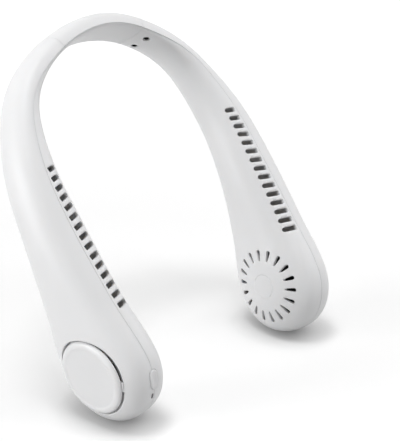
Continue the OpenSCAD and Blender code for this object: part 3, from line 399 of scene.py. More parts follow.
def directions(s):
    """Along the band, across its width and outwards from its outer face."""
    heading = centre_line(s)[1]
    share = pi * min(s, band_reach) / band_reach
    wave = 2 * sin(share) * cos(share) ** 2 - sin(share) ** 3
    slope = (side_bow * sin(2 * share) + side_wave * wave) * pi / band_reach
    along = Vector((cos(heading), slope, -sin(heading))).normalized()
    across = Vector((sin(heading), 0, cos(heading))).cross(along).normalized()
    return along, across, along.cross(across)


def eased(values, share):
    """A smooth curve through values at equal steps."""
    x = min(max(share, 0.0), 1.0) * (len(values) - 1)
    i = min(int(x), len(values) - 2)
    t = x - i
    slopes = [0.0] + [(values[k + 1] - values[k - 1]) / 2 for k in range(1, len(values) - 1)] + [0.0]
    rise = 3 * t**2 - 2 * t**3
    ends = (1 - rise) * values[i] + rise * values[i + 1]
    return ends + (t**3 - 2 * t**2 + t) * slopes[i] + (t**3 - t**2) * slopes[i + 1]


def half_size(s):
    return eased(band_widths, s / band_reach) / 2, eased(band_thicks, s / band_reach) / 2


def smooth(share):
    t = min(max(share, 0.0), 1.0)
    return t * t * (3 - 2 * t)


def faded(d, ends):
    """1 up to the first of two stations, 0 from the second, and smooth between."""
    return 1 - smooth((d - ends[0]) / (ends[1] - ends[0]))


def band_row(s, inset=0.0, inner_inset=wall, tip_turn=0.0, rounded=1.0, shrunk=1.0):
    """One row of the band. Round the tip, tip_turn goes from 0 at its centre to a quarter turn at its end.

    Near the nape the parting line drops towards the inner face, so the outer half there is the deeper one.
    """
    d = abs(s)
    middle = centre_line(d)[0]
    along, across, outward = directions(d)
    width, thick = half_size(d)
    flip = Vector((-1 if s < 0 else 1, 1, 1))
    bulge = (1 - sin(tip_turn) ** section_exponent) ** (1 / section_exponent)
    drop = crease_drop * faded(d, drop_ends)
    row = {"across": across * flip, "outward": outward * flip, "rim": along * sin(tip_turn) * flip}
    for name, cut in (("out", inset), ("in", inner_inset)):
        past = (tip_radius - cut) * sin(tip_turn)
        row["place_" + name] = (middle + along * past + outward * drop) * flip
        row["size_" + name] = Vector(((width - cut) * cos(tip_turn), (thick - cut) * bulge, drop)) * shrunk
    row["rim_across"] = cos(tip_turn)
    row["rounded"] = rounded
    row["lean"] = crease_lean * faded(d, crease_ends)
    return row


def end_rows(s, towards):
    """Rows that close a shell's end and round it, from mid-wall outwards."""
    rows = [band_row(s, wall / 2, wall / 2, rounded=0.0)]
    for turn in edge_turns:
        rows.append(band_row(s + towards * edge_radius * (1 - cos(turn)), edge_radius * (1 - sin(turn))))
    return rows


def tip_end(*insets):
    """Rows round the tip, from its centre to its end."""
    return [band_row(band_reach, *insets, tip_turn=pi / 2 * i / tip_rows) for i in range(1, tip_rows + 1)]


def arm_guide():
    start = root_station + seam / 2
    rows = end_rows(start, 1)
    for i in range(1, arm_rows + 1):
        rows.append(band_row(start + edge_radius + (band_reach - start - edge_radius) * i / arm_rows))
    return guide_mesh(rows + tip_end())


def nape_guide():
    reach = root_station - seam / 2
    rows = end_rows(-reach, 1)
    for i in range(1, nape_rows):
        rows.append(band_row((reach - edge_radius) * (2 * i / nape_rows - 1)))
    return guide_mesh(rows + end_rows(reach, -1)[::-1])


def solid_guide(start, end, inset, with_tip):
    """Rows of the whole band as one solid body, set in from the skin."""
    steps = core_rows + (arm_rows if with_tip else 0)
    rows = [band_row(start, inset, inset, shrunk=0.0)]
    rows += [band_row(start + (end - start) * i / steps, inset, inset) for i in range(steps + 1)]
    rows += tip_end(inset, inset) if with_tip else [band_row(end, inset, inset, shrunk=0.0)]
    return guide_mesh(rows)


def band_recipe():
    """Wraps a grid round the rows: over the outer skin from edge to edge, and back along the inner skin."""
    recipe = Recipe("band")
    rows, half, edge = (recipe.asked(name, "Int") for name in ("Rows", "Columns", "Edge columns"))
    radius, gap, exponent, squareness, step, face, whole = (recipe.asked(name) for name in (
        "Edge radius", "Half gap", "Section exponent", "Squareness", "Crease step", "Face", "Whole"))
    paint = recipe.asked("Paint", "Material")

    count = half * 2 + 3
    grid, way_across, row = recipe.grid(count, rows)
    column = worked_out("ROUND", way_across * (count - 1))

    def of_row(name, kind="FLOAT_VECTOR"):
        return recipe.of_row(recipe.kept(name, kind), row, kind)

    inside = (half + 0.5 < column) * (column < half * 2 + 1.5)
    place = chosen(inside, half * 2 + 1 - column, column * (column < half * 2 + 1.5))
    side = chosen(place < half / 2, -1.0, 1.0)
    from_edge = worked_out("MINIMUM", place, half - place)
    on_edge = from_edge < edge - 0.5

    thin = inside * (1 - whole)
    wide, deep, drop = parts_of(chosen(thin, of_row("size_in"), of_row("size_out")))
    facing = face * (1 - inside * whole * 2)
    round_off = radius * of_row("rounded", "FLOAT") * (1 - inside)
    bend = from_edge / edge * (pi / 2)
    edge_rise = gap + round_off * (1 - worked_out("COSINE", bend))
    set_in = round_off * (1 - worked_out("SINE", bend)) * on_edge
    way = (from_edge - edge) / (half - edge * 2)
    angle = way * way * (3 - way * 2) * pi * (1 - on_edge)
    overlap = worked_out("MAXIMUM", drop * facing * -1, 0.0)
    power = 2 / (exponent + overlap * squareness)
    arch = (deep - drop * facing) * worked_out("SINE", angle) ** power
    rise = chosen(on_edge, edge_rise, worked_out("MAXIMUM", arch, gap + round_off))
    swing = side * worked_out("COSINE", angle)
    rim = of_row("rim") + of_row("across") * (of_row("rim_across", "FLOAT") * swing)
    step_back = worked_out("MAXIMUM", drop * facing, 0.0)
    reach = (wide - of_row("lean", "FLOAT") * rise - step_back * step) * swing
    spine = chosen(thin, of_row("place_in"), of_row("place_out"))
    skin = spine + of_row("across") * reach + of_row("outward") * (rise * facing) - rim * set_in
    recipe.finished_grid(grid, skin, paint)
    return recipe


band = band_recipe()


def band_mesh(guide, face=1.0, whole=0.0):
    """A half shell that follows the guide, or the whole band as a solid body."""
    return band.grown(guide, {
        "Rows": len(guide.vertices), "Columns": columns, "Edge columns": edge_columns,
        "Edge radius": edge_radius * (1 - whole), "Half gap": seam / 2 * (1 - whole),
        "Section exponent": section_exponent, "Squareness": nape_squareness,
        "Crease step": crease_step, "Face": face, "Whole": whole, "Paint": shell_white})


def band_core(start, end, with_tip):
    """The band's inside from the middle of its walls, which holds the posts, ribs and bosses."""
    return band_mesh(solid_guide(start, end, core_inset, with_tip), whole=1.0)


def speckle(place, size, detail=2.0, stretch=None):
    """Noise whose spots are about size metres across, from 0 to 1."""
    if stretch:
        place = made(place.tree, "ShaderNodeMapping", {"Vector": place, "Scale": stretch})
    inputs = {"Vector": place, "Scale": 1 / size, "Detail": detail}
    return made(place.tree, "ShaderNodeTexNoise", inputs, "Fac")


def shaded(colour, share):
    return tuple(part * share for part in colour)


def surfaced(paint, colour, roughness, height, depth, strength=1.0):
    """Gives a paint its colour, its gloss and its relief."""
    relief = {"Height": height, "Distance": depth, "Strength": strength}
    set_on(paint, {"Base Color": colour, "Roughness": roughness,
                   "Normal": made(paint.node_tree, "ShaderNodeBump", relief)})
    return paint


def moulded(name, colour, roughness, grain=0.00035, depth=0.000006, shade=0.02, glow=0.0):
    """Moulded plastic: a fine sparked grain, flow marks and an uneven gloss. Pale plastic glows inside."""
    paint, place = finish_of(name, colour, roughness)
    flow = speckle(place, flow_size, 3.0)
    fine = speckle(place, grain, 3.0)
    set_on(paint, {"Subsurface Weight": glow, "Subsurface Radius": glow_tint, "Subsurface Scale": glow_depth})
    gloss = roughness + (fine - 0.5) * 0.12 + (flow - 0.5) * 0.06
    return surfaced(paint, blended(flow, shaded(colour, 1 - shade), colour), gloss, fine, depth)


shell_white = moulded("shell_white", satin_white, 0.42, glow=0.5)


def carved(mesh, steps):
    """The mesh after each (operation, tool) in turn."""
    item = set_down("carved", mesh)
    tools = []
    for operation, tool in steps:
        tools.append(set_down("tool", tool))
        modifier = item.modifiers.new("carve", "BOOLEAN")
        modifier.operation = operation
        modifier.solver = "MANIFOLD"
        modifier.object = tools[-1]
    return plain_mesh(item, *tools)


def placed(left=False):
    """Carries a mesh from the band's own frame to where its arm is, in metres."""
    side = Matrix.Diagonal((-1, 1, 1, 1)) if left else Matrix.Identity(4)
    lifted = Matrix.Translation((0, 0, band_thicks[0] / 2))
    return Matrix.Scale(millimetre, 4) @ Matrix.Rotation(-lean, 4, "X") @ lifted @ side


def moulding(mesh, left=False, sharp=32):
    """Puts a finished mesh in place, with smooth faces and crisp edges."""
    mesh = mesh.copy()
    mesh.transform(placed(left))
    if left:
        mesh.flip_normals()
    mesh.shade_smooth()
    mesh.set_sharp_from_angle(angle=radians(sharp))
    item = set_down("moulding", mesh)
    item.modifiers.new("shading", "WEIGHTED_NORMAL").keep_sharp = True
    return plain_mesh(item)


def piece(name, mesh, paint, slot, nodes, body="housing"):
    """A finished piece that rides on a body and stands for its nodes."""
    mesh.name = name
    mesh.materials.clear()
    mesh.materials.append(paint)
    item = set_down(name, mesh)
    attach(item, body)
    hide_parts(*nodes)


def node_copy(node, left=False):
    """A merged copy of a node's solid, in the band's own frame."""
    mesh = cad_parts[node].data.copy()
    mesh.transform(placed(left).inverted())
    shape = bmesh.new()
    shape.from_mesh(mesh)
    bmesh.ops.remove_doubles(shape, verts=shape.verts, dist=loose_reach)
    if left:
        bmesh.ops.reverse_faces(shape, faces=shape.faces)
    shape.to_mesh(mesh)
    shape.free()
    return mesh


# The openings of the shells are moulded in: 15 outlet slots in the front edge of each arm, 18 intake slots
# and a ring in each inner face, the well for the cap, the screws' recesses, and openings for the button,
# light and socket. Each has a small round lip, which is laid on the band's own skin.
slot_count = 15
slot_start = 27.4
slot_pitch = 5.52
slot_wide = 2.8
slot_corner = 0.5
slot_drop = 1.6
slot_deep = 7.0
slot_reach_share = 0.61
slot_slants = (radians(5), radians(19))
slot_lip = 0.25
intake_count = 18
intake_radii = (15.0, 21.8)
intake_widths = (1.2, 2.4)
intake_floor = 9.0
ring_radius = 7.0
ring_groove = 0.2
cap_radius = 20.4
cap_gap = 1.0
well_floor = 12.01
well_lip = 0.45
well_above = 8.0
screw_station = 40.0
screw_side = 5.6
recess_radius = 2.0
recess_deep = 2.4
recess_lip = 0.2
button_angle = radians(63)
button_size = (11.0, 5.4)
button_clear = 0.14
button_edge_lip = 0.15
light_angle = radians(44.5)
light_size = (3.2, 1.0)
light_side = 1.4
light_clear = 0.08
light_lip = 0.1
socket_station = 164.0
socket_size = (9.94, 4.26)
rim_wall = 3.6
lip_turns = [radians(a) for a in (25, 50, 90)]
lip_start = 0.02
above_skin = 2.0
clear_of_skin = 40.0
skin_start = 24
arm_core_start = 29
nape_core_reach = 52


def cut_recipe():
    """Sets an outline at each guide point and lays its rims on the skin, seen from outside."""
    recipe = Recipe("cuts")
    outline = recipe.asked("Shape", "Object")
    skin = recipe.asked("Skin", "Object")
    above = recipe.asked("Start above the skin")
    paint = recipe.asked("Paint", "Material")
    real = recipe.made("GeometryNodeRealizeInstances", {"Geometry": recipe.copies(outline)})
    out, up = recipe.kept("out"), recipe.kept("up")
    foot, long, bottom, sink = (recipe.kept(name, "FLOAT") for name in ("foot", "long", "bottom", "sink"))
    spot = recipe.made("GeometryNodeInputPosition", {}) - up * (foot * long)
    target = recipe.made("GeometryNodeObjectInfo", {"Object": skin}, "Geometry")
    ray = {"Target Geometry": target, "Source Position": spot + out * above,
           "Ray Direction": out * -1.0, "Ray Length": above * 3}
    landing = recipe.made("GeometryNodeRaycast", ray, "Hit Position")
    laid = chosen(bottom, spot, landing - out * sink)
    recipe.finished(recipe.made("GeometryNodeSetPosition", {"Geometry": real, "Position": laid}), paint)
    return recipe


def laid_out(recipe, shape, points, inputs):
    """The mesh that a recipe makes of a shape at each point."""
    item = set_down("shape", shape)
    mesh = recipe.grown(guide_mesh(points), {"Shape": item, **inputs})
    bpy.data.objects.remove(item)
    return mesh


cuts = cut_recipe()
skin_item = set_down("skin", band_mesh(solid_guide(skin_start, band_reach, 0.0, True), whole=1.0))


def cut_mesh(tool, points):
    inputs = {"Skin": skin_item, "Start above the skin": clear_of_skin, "Paint": shell_white}
    return laid_out(cuts, tool, points, inputs)


def arc(radius, start, end, steps, at=(0.0, 0.0), foot=0.0):
    """Points of an outline: place, the direction that it grows in, and whether it moves with the foot."""
    turns = [start + (end - start) * i / steps for i in range(steps + 1)]
    return [(at[0] + radius * cos(a), at[1] + radius * sin(a), cos(a), sin(a), foot) for a in turns]


def ring(radius, steps):
    return arc(radius, 0, 2 * pi, steps)[:-1]


def pill(long, wide, steps=14):
    r = wide / 2
    ends = arc(r, -pi / 2, pi / 2, steps, (long / 2 - r, 0))
    return ends + arc(r, pi / 2, pi * 3 / 2, steps, (r - long / 2, 0))


def loop_of(outline, grow, height, sink=0, bottom=0):
    """One loop of a tool: an outline that is grown outwards, at a height."""
    return [((x + nx * grow, y + ny * grow, height), sink, foot, bottom) for x, y, nx, ny, foot in outline]


def marked_mesh(vertices, faces):
    """A closed mesh of (place, sink, foot, bottom) vertices, which keeps the last three as attributes."""
    mesh = bpy.data.meshes.new("tool")
    mesh.from_pydata([v[0] for v in vertices], [], faces)
    for place, name in ((1, "sink"), (2, "foot"), (3, "bottom")):
        field = mesh.attributes.new(name, "FLOAT", "POINT")
        field.data.foreach_set("value", [float(v[place]) for v in vertices])
    return faces_out(mesh)


def tool_mesh(loops):
    """A closed tool from loops of vertices, from its bottom to its top."""
    size = len(loops[0])
    faces = [tuple(range(size))[::-1], tuple(range(size * (len(loops) - 1), size * len(loops)))]
    for i in range(len(loops) - 1):
        for j in range(size):
            k = (j + 1) % size
            faces.append((i * size + j, i * size + k, (i + 1) * size + k, (i + 1) * size + j))
    return marked_mesh([vertex for loop in loops for vertex in loop], faces)


def lipped(outline, floor, lip, above=above_skin):
    """A tool that cuts an outline from the floor up through the skin, with a round lip."""
    rims = [(lip, -above), (lip, -lip_start)] + [(lip * (1 - sin(a)), lip * (1 - cos(a))) for a in lip_turns]
    loops = [loop_of(outline, 0.0, floor, bottom=1)]
    loops += [loop_of(outline, grow, floor, sink) for grow, sink in reversed(rims)]
    return tool_mesh(loops)


def groove(radius, half_width, steps=72, around=8):
    """A ring-shaped tool whose middle lies in the skin."""
    vertices, faces = [], []
    for i in range(steps):
        a = 2 * pi * i / steps
        for j in range(around):
            b = 2 * pi * j / around
            r = radius + half_width * cos(b)
            vertices.append(((r * cos(a), r * sin(a), half_width * sin(b)), -half_width * sin(b), 0, 0))
            faces.append((i * around + j, (i + 1) % steps * around + j,
                          (i + 1) % steps * around + (j + 1) % around, i * around + (j + 1) % around))
    return marked_mesh(vertices, faces)


def point(place, out, up, long=0.0):
    return {"place": place, "out": out, "up": up, "long": long}


def station(s):
    """Place, and directions along the band and outwards, without the sideways sway."""
    middle, heading = centre_line(s)
    return middle, Vector((cos(heading), 0, -sin(heading))), Vector((sin(heading), 0, cos(heading)))


sideways = Vector((0, 1, 0))
tip_middle, tip_down, tip_out = station(band_reach)


def outlet_slots():
    r = slot_wide / 2
    top = -slot_drop - slot_corner
    outline = arc(slot_corner, 0, pi / 2, 3, (r - slot_corner, top))
    outline += arc(slot_corner, pi / 2, pi, 3, (slot_corner - r, top))
    outline += arc(r, pi, 2 * pi, 12, (0, -slot_drop - r), foot=1.0)
    points = []
    for k in range(slot_count):
        s = band_reach - slot_start - k * slot_pitch
        middle, down, out = station(s)
        width, thick = half_size(s)
        place = middle - sideways * (width - slot_deep)
        slant = slot_slants[0] + (slot_slants[1] - slot_slants[0]) * k / (slot_count - 1)
        long_way = out * cos(slant) + down * sin(slant)
        points.append(point(place, -sideways, long_way, slot_reach_share * thick - slot_drop - slot_wide))
    return cut_mesh(lipped(outline, 0.0, slot_lip), points)


def intake_slots():
    small, big = (w / 2 for w in intake_widths)
    outline = arc(big, 0, pi, 10, (0, intake_radii[1] - big))
    outline += arc(small, pi, 2 * pi, 6, (0, intake_radii[0] + small))
    turns = [2 * pi * (i + 0.5) / intake_count for i in range(intake_count)]
    points = [point(tip_middle, -tip_out, tip_down * cos(a) + sideways * sin(a)) for a in turns]
    return cut_mesh(lipped(outline, intake_floor, slot_lip), points)


def on_rim(angle, side=0.0):
    out = tip_down * cos(angle) - sideways * sin(angle)
    return point(tip_middle + tip_out * side, out, tip_out)


def rim_opening(size, clear, lip, spot, steps=14):
    """A pill-shaped opening in the tip's rim, clear of what stands in it."""
    outline = pill(size[0] + 2 * clear, size[1] + 2 * clear, steps)
    return cut_mesh(lipped(outline, tip_radius - rim_wall, lip), [spot])


def socket_opening():
    middle, down, out = station(socket_station)
    place = middle + sideways * (half_size(socket_station)[0] - rim_wall)
    return cut_mesh(lipped(pill(*socket_size), 0.0, slot_lip), [point(place, sideways, out)])


def cap_well():
    tool = lipped(ring(cap_radius + cap_gap, 160), well_floor, well_lip, well_above)
    return cut_mesh(tool, [point(tip_middle, tip_out, tip_down)])


def intake_ring():
    return cut_mesh(groove(ring_radius, ring_groove), [point(tip_middle, -tip_out, tip_down)])


def screw_recesses():
    middle, down, out = station(screw_station)
    tool = lipped(ring(recess_radius, 40), band_thicks[0] / 2 - recess_deep, recess_lip)
    return cut_mesh(tool, [point(middle + sideways * y, -out, down) for y in (-screw_side, screw_side)])


def shell_piece(node, core, skin, tools=(), left=False):
    """A shell: the node's posts and ribs inside the skin, less its openings."""
    inside = carved(node_copy(node, left), [("INTERSECT", core)])
    shell = carved(skin, [("UNION", inside)] + [("DIFFERENCE", tool) for tool in tools])
    piece(node + "_moulding", moulding(shell, left), shell_white, "shell_white", [node])


sides = ("left", "right")
arm_core = band_core(arm_core_start, band_reach, True)
nape_core = band_core(-nape_core_reach, nape_core_reach, False)
for side in sides:
    outer_cuts = [cap_well()]
    inner_cuts = [outlet_slots(), intake_slots(), intake_ring(), screw_recesses()]
    if side == "left":
        button = rim_opening(button_size, button_clear, button_edge_lip, on_rim(button_angle))
        light = rim_opening(light_size, light_clear, light_lip, on_rim(light_angle, light_side), 8)
        socket = socket_opening()
        outer_cuts += [light, button, socket]
        inner_cuts += [button, socket]
    for half, face, tools in (("outer", 1.0, outer_cuts), ("inner", -1.0, inner_cuts)):
        skin = band_mesh(arm_guide(), face)
        shell_piece(side + "_arm_" + half + "_shell", arm_core, skin, tools, side == "left")
for half, face in (("outer", 1.0), ("inner", -1.0)):
    shell_piece("nape_" + half + "_cover", nape_core, band_mesh(nape_guide(), face))
bpy.data.objects.remove(skin_item)


# The intake cap is a moulded puck with a round crest and a slightly sunken disc. It stands on a stud in the
# well, and three lugs carry its rim across the air gap.
cap_face = 16.4
cap_low = 13.8
cap_foot = 0.3
cap_disc = 16.2
cap_crest = 17.6
cap_dish = 0.25
cap_swell = 0.05
cap_bend = 1.8
disc_steps = 9
crest_steps = 6
cap_turns = [radians(a) for a in range(8, 91, 8)]
stud_radius = 2.5
stud_ends = (10.4, 14.3)
lug_angles = [radians(57 + 120 * i) for i in range(3)]
lug_span = radians(14)
lug_steps = 6
lug_heights = (12.05, 14.05)
lug_radii = (18.4, 21.35)
plate_edge = 0.12
corner_share = 0.45
plate_turns = [radians(a) for a in (0, 45, 90)]
tip_frame = Matrix((tip_down, sideways, tip_out)).transposed().to_4x4()
tip_frame.translation = tip_middle


def turned_recipe():
    """Turns an outline round the Z axis. The outline's points keep their radius and height."""
    recipe = Recipe("turned")
    rows = recipe.asked("Rows", "Int")
    steps = recipe.asked("Steps", "Int")
    paint = recipe.asked("Paint", "Material")
    grid, way_round, row = recipe.grid(steps + 1, rows)
    turn = way_round * (2 * pi)
    radius, middle, height = parts_of(recipe.of_row(recipe.made("GeometryNodeInputPosition", {}), row))
    parts = {"X": radius * worked_out("COSINE", turn), "Y": radius * worked_out("SINE", turn), "Z": height}
    recipe.finished_grid(grid, recipe.made("ShaderNodeCombineXYZ", parts), paint)
    return recipe


def repeat_recipe():
    """Sets a copy of an object at each guide point."""
    recipe = Recipe("repeats")
    shape = recipe.asked("Shape", "Object")
    paint = recipe.asked("Paint", "Material")
    recipe.finished(recipe.copies(shape), paint)
    return recipe


turning = turned_recipe()
repeats = repeat_recipe()


def turned(outline, paint, steps):
    """The solid that an outline of (radius, height) points makes, turned round the axis."""
    guide = guide_mesh([{"place": Vector((r, 0, z))} for r, z in outline])
    return turning.grown(guide, {"Rows": len(outline), "Steps": steps, "Paint": paint})


def softened(outline, radius, steps=3, closed=False):
    """The outline with each inner corner rounded off."""
    count = len(outline)
    result = [] if closed else [outline[0]]
    for i in range(0 if closed else 1, count if closed else count - 1):
        corner = Vector(outline[i])
        before, after = Vector(outline[i - 1]) - corner, Vector(outline[(i + 1) % count]) - corner
        short = min(radius, before.length * corner_share, after.length * corner_share)
        start, end = corner + before.normalized() * short, corner + after.normalized() * short
        for k in range(steps + 1):
            t = k / steps
            result.append(tuple(start * (1 - t) ** 2 + corner * 2 * t * (1 - t) + end * t**2))
    result.append(result[0] if closed else outline[-1])
    return result


def round_axis(angles):
    """A guide point on the Z axis for each angle, turned to it."""
    return [point(Vector(), Vector((0, 0, 1)), Vector((cos(a), sin(a), 0))) for a in angles]


def plate(outline, low, high, edge=plate_edge):
    """A flat block with rounded edges, from an outline with the directions that it grows in."""
    levels = [(-edge * (1 - sin(b)), low + edge * (1 - cos(b))) for b in plate_turns]
    levels += [(-edge * (1 - sin(b)), high - edge * (1 - cos(b))) for b in reversed(plate_turns)]
    return tool_mesh([loop_of(outline, grow, z) for grow, z in levels])


def joined(*meshes):
    shape = bmesh.new()
    for mesh in meshes:
        shape.from_mesh(mesh)
    result = bpy.data.meshes.new("joined")
    shape.to_mesh(result)
    shape.free()
    return result


cap_white = moulded("cap_white", satin_white, 0.38, glow=0.5)


def cap_mesh():
    rows = []
    for k in range(disc_steps + 1):
        share = k / disc_steps
        rows.append((cap_disc * k / disc_steps, cap_face - cap_dish + cap_swell * (1 - share**2)))
    for k in range(1, crest_steps + 1):
        radius = cap_disc + (cap_crest - cap_disc) * k / crest_steps
        rows.append((radius, cap_face - cap_dish * (1 - smooth(k / crest_steps))))
    for a in cap_turns:
        rows.append((cap_crest + (cap_radius - cap_crest) * sin(a), cap_face - cap_bend * (1 - cos(a))))
    rows += [(cap_radius - 0.02, cap_low + cap_foot), (cap_radius - cap_foot, cap_low), (0.0, cap_low)]
    low, high = stud_ends
    stud = turned([(0.0, low), (stud_radius, low), (stud_radius, high), (0.0, high)], cap_white, 64)
    span = [lug_span * (k / lug_steps - 0.5) for k in range(lug_steps + 1)]
    near, far = lug_radii
    lug = [(far * sin(a), far * cos(a), sin(a), cos(a), 0.0) for a in span]
    lug += [(near * sin(a), near * cos(a), -sin(a), -cos(a), 0.0) for a in reversed(span)]
    lugs = laid_out(repeats, plate(lug, *lug_heights), round_axis(lug_angles), {"Paint": cap_white})
    mesh = joined(turned(rows, cap_white, 160), stud, lugs)
    mesh.transform(tip_frame)
    return mesh


for side in sides:
    name = side + "_intake_cap"
    piece(name + "_moulding", moulding(cap_mesh(), side == "left", 40), cap_white, "cap_white", [name])


# The power button is a white pill that is moulded with a flange behind the shell, and its face is dished
# for the thumb. It is pressed in from inside and rests on the switch.
button_proud = 0.4
button_flange = (25.6, 26.4)
button_lip = 0.8
button_bend = 0.6
button_turns = [radians(a) for a in (0, 18, 36, 54, 72, 90)]
button_dish = 0.55
dish_power = 0.8
button_steps = 7
button_white = moulded("button_white", (0.80, 0.80, 0.81), 0.36, glow=0.5)


def button_mesh():
    out, side = on_rim(button_angle)["out"], on_rim(button_angle)["up"]
    reach = tip_radius + button_proud
    outline = pill(*button_size)
    low, high = button_flange
    loops = [loop_of(outline, grow, z) for grow, z in ((button_lip, low), (button_lip, high), (0.0, high))]

    def on_top(x, y, drop):
        return (x, y, sqrt(reach**2 - x**2) - drop), 0, 0, 0

    for a in button_turns:
        grow, drop = -button_bend * (1 - cos(a)), button_bend * (1 - sin(a))
        loops.append([on_top(x + nx * grow, y + ny * grow, drop) for x, y, nx, ny, foot in outline])
    rim = [(x - nx * button_bend, y - ny * button_bend) for x, y, nx, ny, foot in outline]
    for k in range(1, button_steps + 1):
        share = 1 - k / (button_steps + 0.5)
        drop = button_dish * smooth(1 - share) ** dish_power
        loops.append([on_top(x * share, y * share, drop) for x, y in rim])
    mesh = tool_mesh(loops)
    turn = Matrix((side.cross(out), side, out)).transposed().to_4x4()
    turn.translation = tip_middle
    mesh.transform(turn)
    return mesh


piece("power_button_moulding", moulding(button_mesh(), True, 40), button_white, "button_white",
      ["power_button"], "button")


# The impeller is moulded in one shot from dark glass-filled plastic: a hub that is pressed over the motor's
# cup, a plate, and 24 swept blades between two rings. It shows through the intake and outlet slots.
impeller_radius = 22.0
impeller_heights = (-8.0, 8.4)
hub_radius = 11.4
hub_low = -10.4
hub_high = -2.85
hub_steps = (1.2, -0.6)
cup_radius = 10.0
shaft_radius = 0.75
ring_wide = 1.6
plate_thick = 1.0
corner_radius = 0.3
impeller_sides = 120
blade_inner = 14.5
blade_count = 24
blade_thick = 0.9
blade_thinning = 0.55
blade_power = 8
blade_overlap = 0.02
blade_sweep = radians(16)
impeller_grey = moulded("impeller_grey", (0.045, 0.046, 0.05), 0.45, 0.0005, 0.000012, 0.25)


def blade_outline(steps=10):
    """A blade in plan, which leans forward as it goes outwards and thins to a round edge at both ends."""
    end = impeller_radius - ring_wide / 4
    middle = []
    for k in range(steps + 1):
        r = blade_inner + (end - blade_inner) * k / steps
        half = blade_thick / 2 * (1 - abs(2 * k / steps - 1) ** blade_power * blade_thinning)
        middle.append((r, blade_sweep * (k / steps) ** 2, half))
    outline = []
    for way, row in ((-1, middle), (1, middle[::-1])):
        for r, a, half in row:
            turn = a + way * half / r
            outline.append((r * sin(-turn), r * cos(turn), way * cos(turn), way * sin(turn), 0.0))
    return outline


def hoop(outline):
    return turned(softened(outline, corner_radius, closed=True), impeller_grey, impeller_sides)


def impeller_mesh():
    middle, top = hub_high + plate_thick, hub_high + 2 * plate_thick
    near, far = impeller_radius - ring_wide, impeller_radius
    body = hoop([(cup_radius, hub_low), (hub_radius, hub_low), (hub_radius, hub_high), (far, hub_high),
                 (far, middle), (hub_radius + hub_steps[0], middle), (hub_radius + hub_steps[1], top),
                 (shaft_radius, top), (shaft_radius, hub_high), (cup_radius, hub_high)])
    steps = []
    low, high = impeller_heights
    for z in (low, high - plate_thick):
        end = z + plate_thick
        steps.append(("UNION", hoop([(near, z), (far, z), (far, end), (near, end)])))
    blade = plate(blade_outline(), low + blade_overlap, high - blade_overlap)
    points = round_axis([2 * pi * i / blade_count for i in range(blade_count)])
    steps.append(("UNION", laid_out(repeats, blade, points, {"Paint": impeller_grey})))
    mesh = carved(body, steps)
    mesh.transform(tip_frame)
    return mesh


for side in sides:
    name = side + "_impeller"
    piece(name + "_moulding", moulding(impeller_mesh(), side == "left", 40), impeller_grey,
          "charcoal_plastic", [name], side + "_rotor")


# Four self-tapping screws hold the nape covers to the arms. They are steel with a domed head, which has a
# cross recess, and they sit in the four recesses of the inner face. Their near-black, hardly shining colour
# is painted shade, which makes the recesses look dark.
head_radius = 1.88
head_high = 2.05
head_shares = ((0.0, 1.0), (0.55, 1.0), (0.85, 0.78), (1.0, 0.42), (1.0, 0.0))
head_corner = 0.15
shank_radius = 0.9
shank_long = 4.4
shank_point = 0.8
cross_size = (2.1, 0.4, 0.6)
cross_edge = 0.05


def metal(name, colour, roughness, grain, depth, bare=1.0):
    """Worked metal: fine turned marks and an uneven gloss. Metal that isn't bare hardly shines."""
    paint, place = finish_of(name, colour, roughness, bare, bare / 2)
    marks = speckle(place, grain, 4.0)
    cloud = speckle(place, grain * 20, 2.0)
    gloss = roughness + (cloud - 0.5) * 0.2 + (marks - 0.5) * 0.1
    return surfaced(paint, blended(marks, shaded(colour, 0.75), colour), gloss, marks, depth)


# Painted shade: the screws are near black and hardly shine, so that their recesses look dark.
screw_steel = metal("screw_steel", (0.014, 0.014, 0.015), 0.55, 0.0002, 0.000008, 0.05)


def screw_mesh():
    outline = [(head_radius * across, -head_high * up) for across, up in head_shares]
    outline += [(shank_radius, 0.0), (shank_radius, shank_long - shank_point), (0.0, shank_long)]
    mesh = turned(softened(outline, head_corner), screw_steel, 40)
    long, wide, deep = (part / 2 for part in cross_size)
    for x, y in ((long, wide), (wide, long)):
        square = [(x, y, 1, 1, 0), (-x, y, -1, 1, 0), (-x, -y, -1, -1, 0), (x, -y, 1, -1, 0)]
        bar = plate(square, -head_high - deep * 2, -head_high + deep * 2, cross_edge)
        mesh = carved(mesh, [("DIFFERENCE", bar)])
    return mesh


def nape_screw_places():
    middle, down, out = station(screw_station)
    seat = middle + out * (recess_deep - band_thicks[0] / 2)
    places = [point(seat + sideways * y, out, sideways) for y in (-screw_side, screw_side)]
    mirror = Matrix.Diagonal((-1, 1, 1))
    return places + [point(mirror @ p["place"], mirror @ p["out"], p["up"]) for p in places]


screws = laid_out(repeats, screw_mesh(), nape_screw_places(), {"Paint": screw_steel})
piece("nape_screws_turned", moulding(screws, False, 40), screw_steel, "screw_steel", ["nape_screws"])


# The parts inside keep their construction meshes and get finishes of their own: turned steel, stacked
# sheets, wound wire, sintered powder, foil, printed boards and rubbery cable sheaths. The shells hold them
# between posts and ribs. Pitches and grains are in metres, and places in the band's millimetres.
steel_dark = (0.52, 0.52, 0.54)
steel_pale = (0.66, 0.66, 0.67)
ring_pitch = 0.00022
sheet_pitch = 0.0005
wire_pitch = 0.00025
board_face = -1.93
track_cells = 900.0
track_pitch = 0.45
chip_rise = 0.00006
socket_side = 16.0
tongue_shape = 3.35 / 0.35
tongue_edge = (0.00338, 0.0035)


def along(place, origin, way):
    """How far a place is from an origin along a direction, in metres."""
    return worked_out("DOT_PRODUCT", place - tuple(origin), tuple(way))


def folded(place):
    """Both sides of the fan laid on the right one, so that one pattern serves both."""
    x, y, z = parts_of(place)
    parts = {"X": worked_out("ABSOLUTE", x), "Y": y, "Z": z}
    return made(place.tree, "ShaderNodeCombineXYZ", parts)


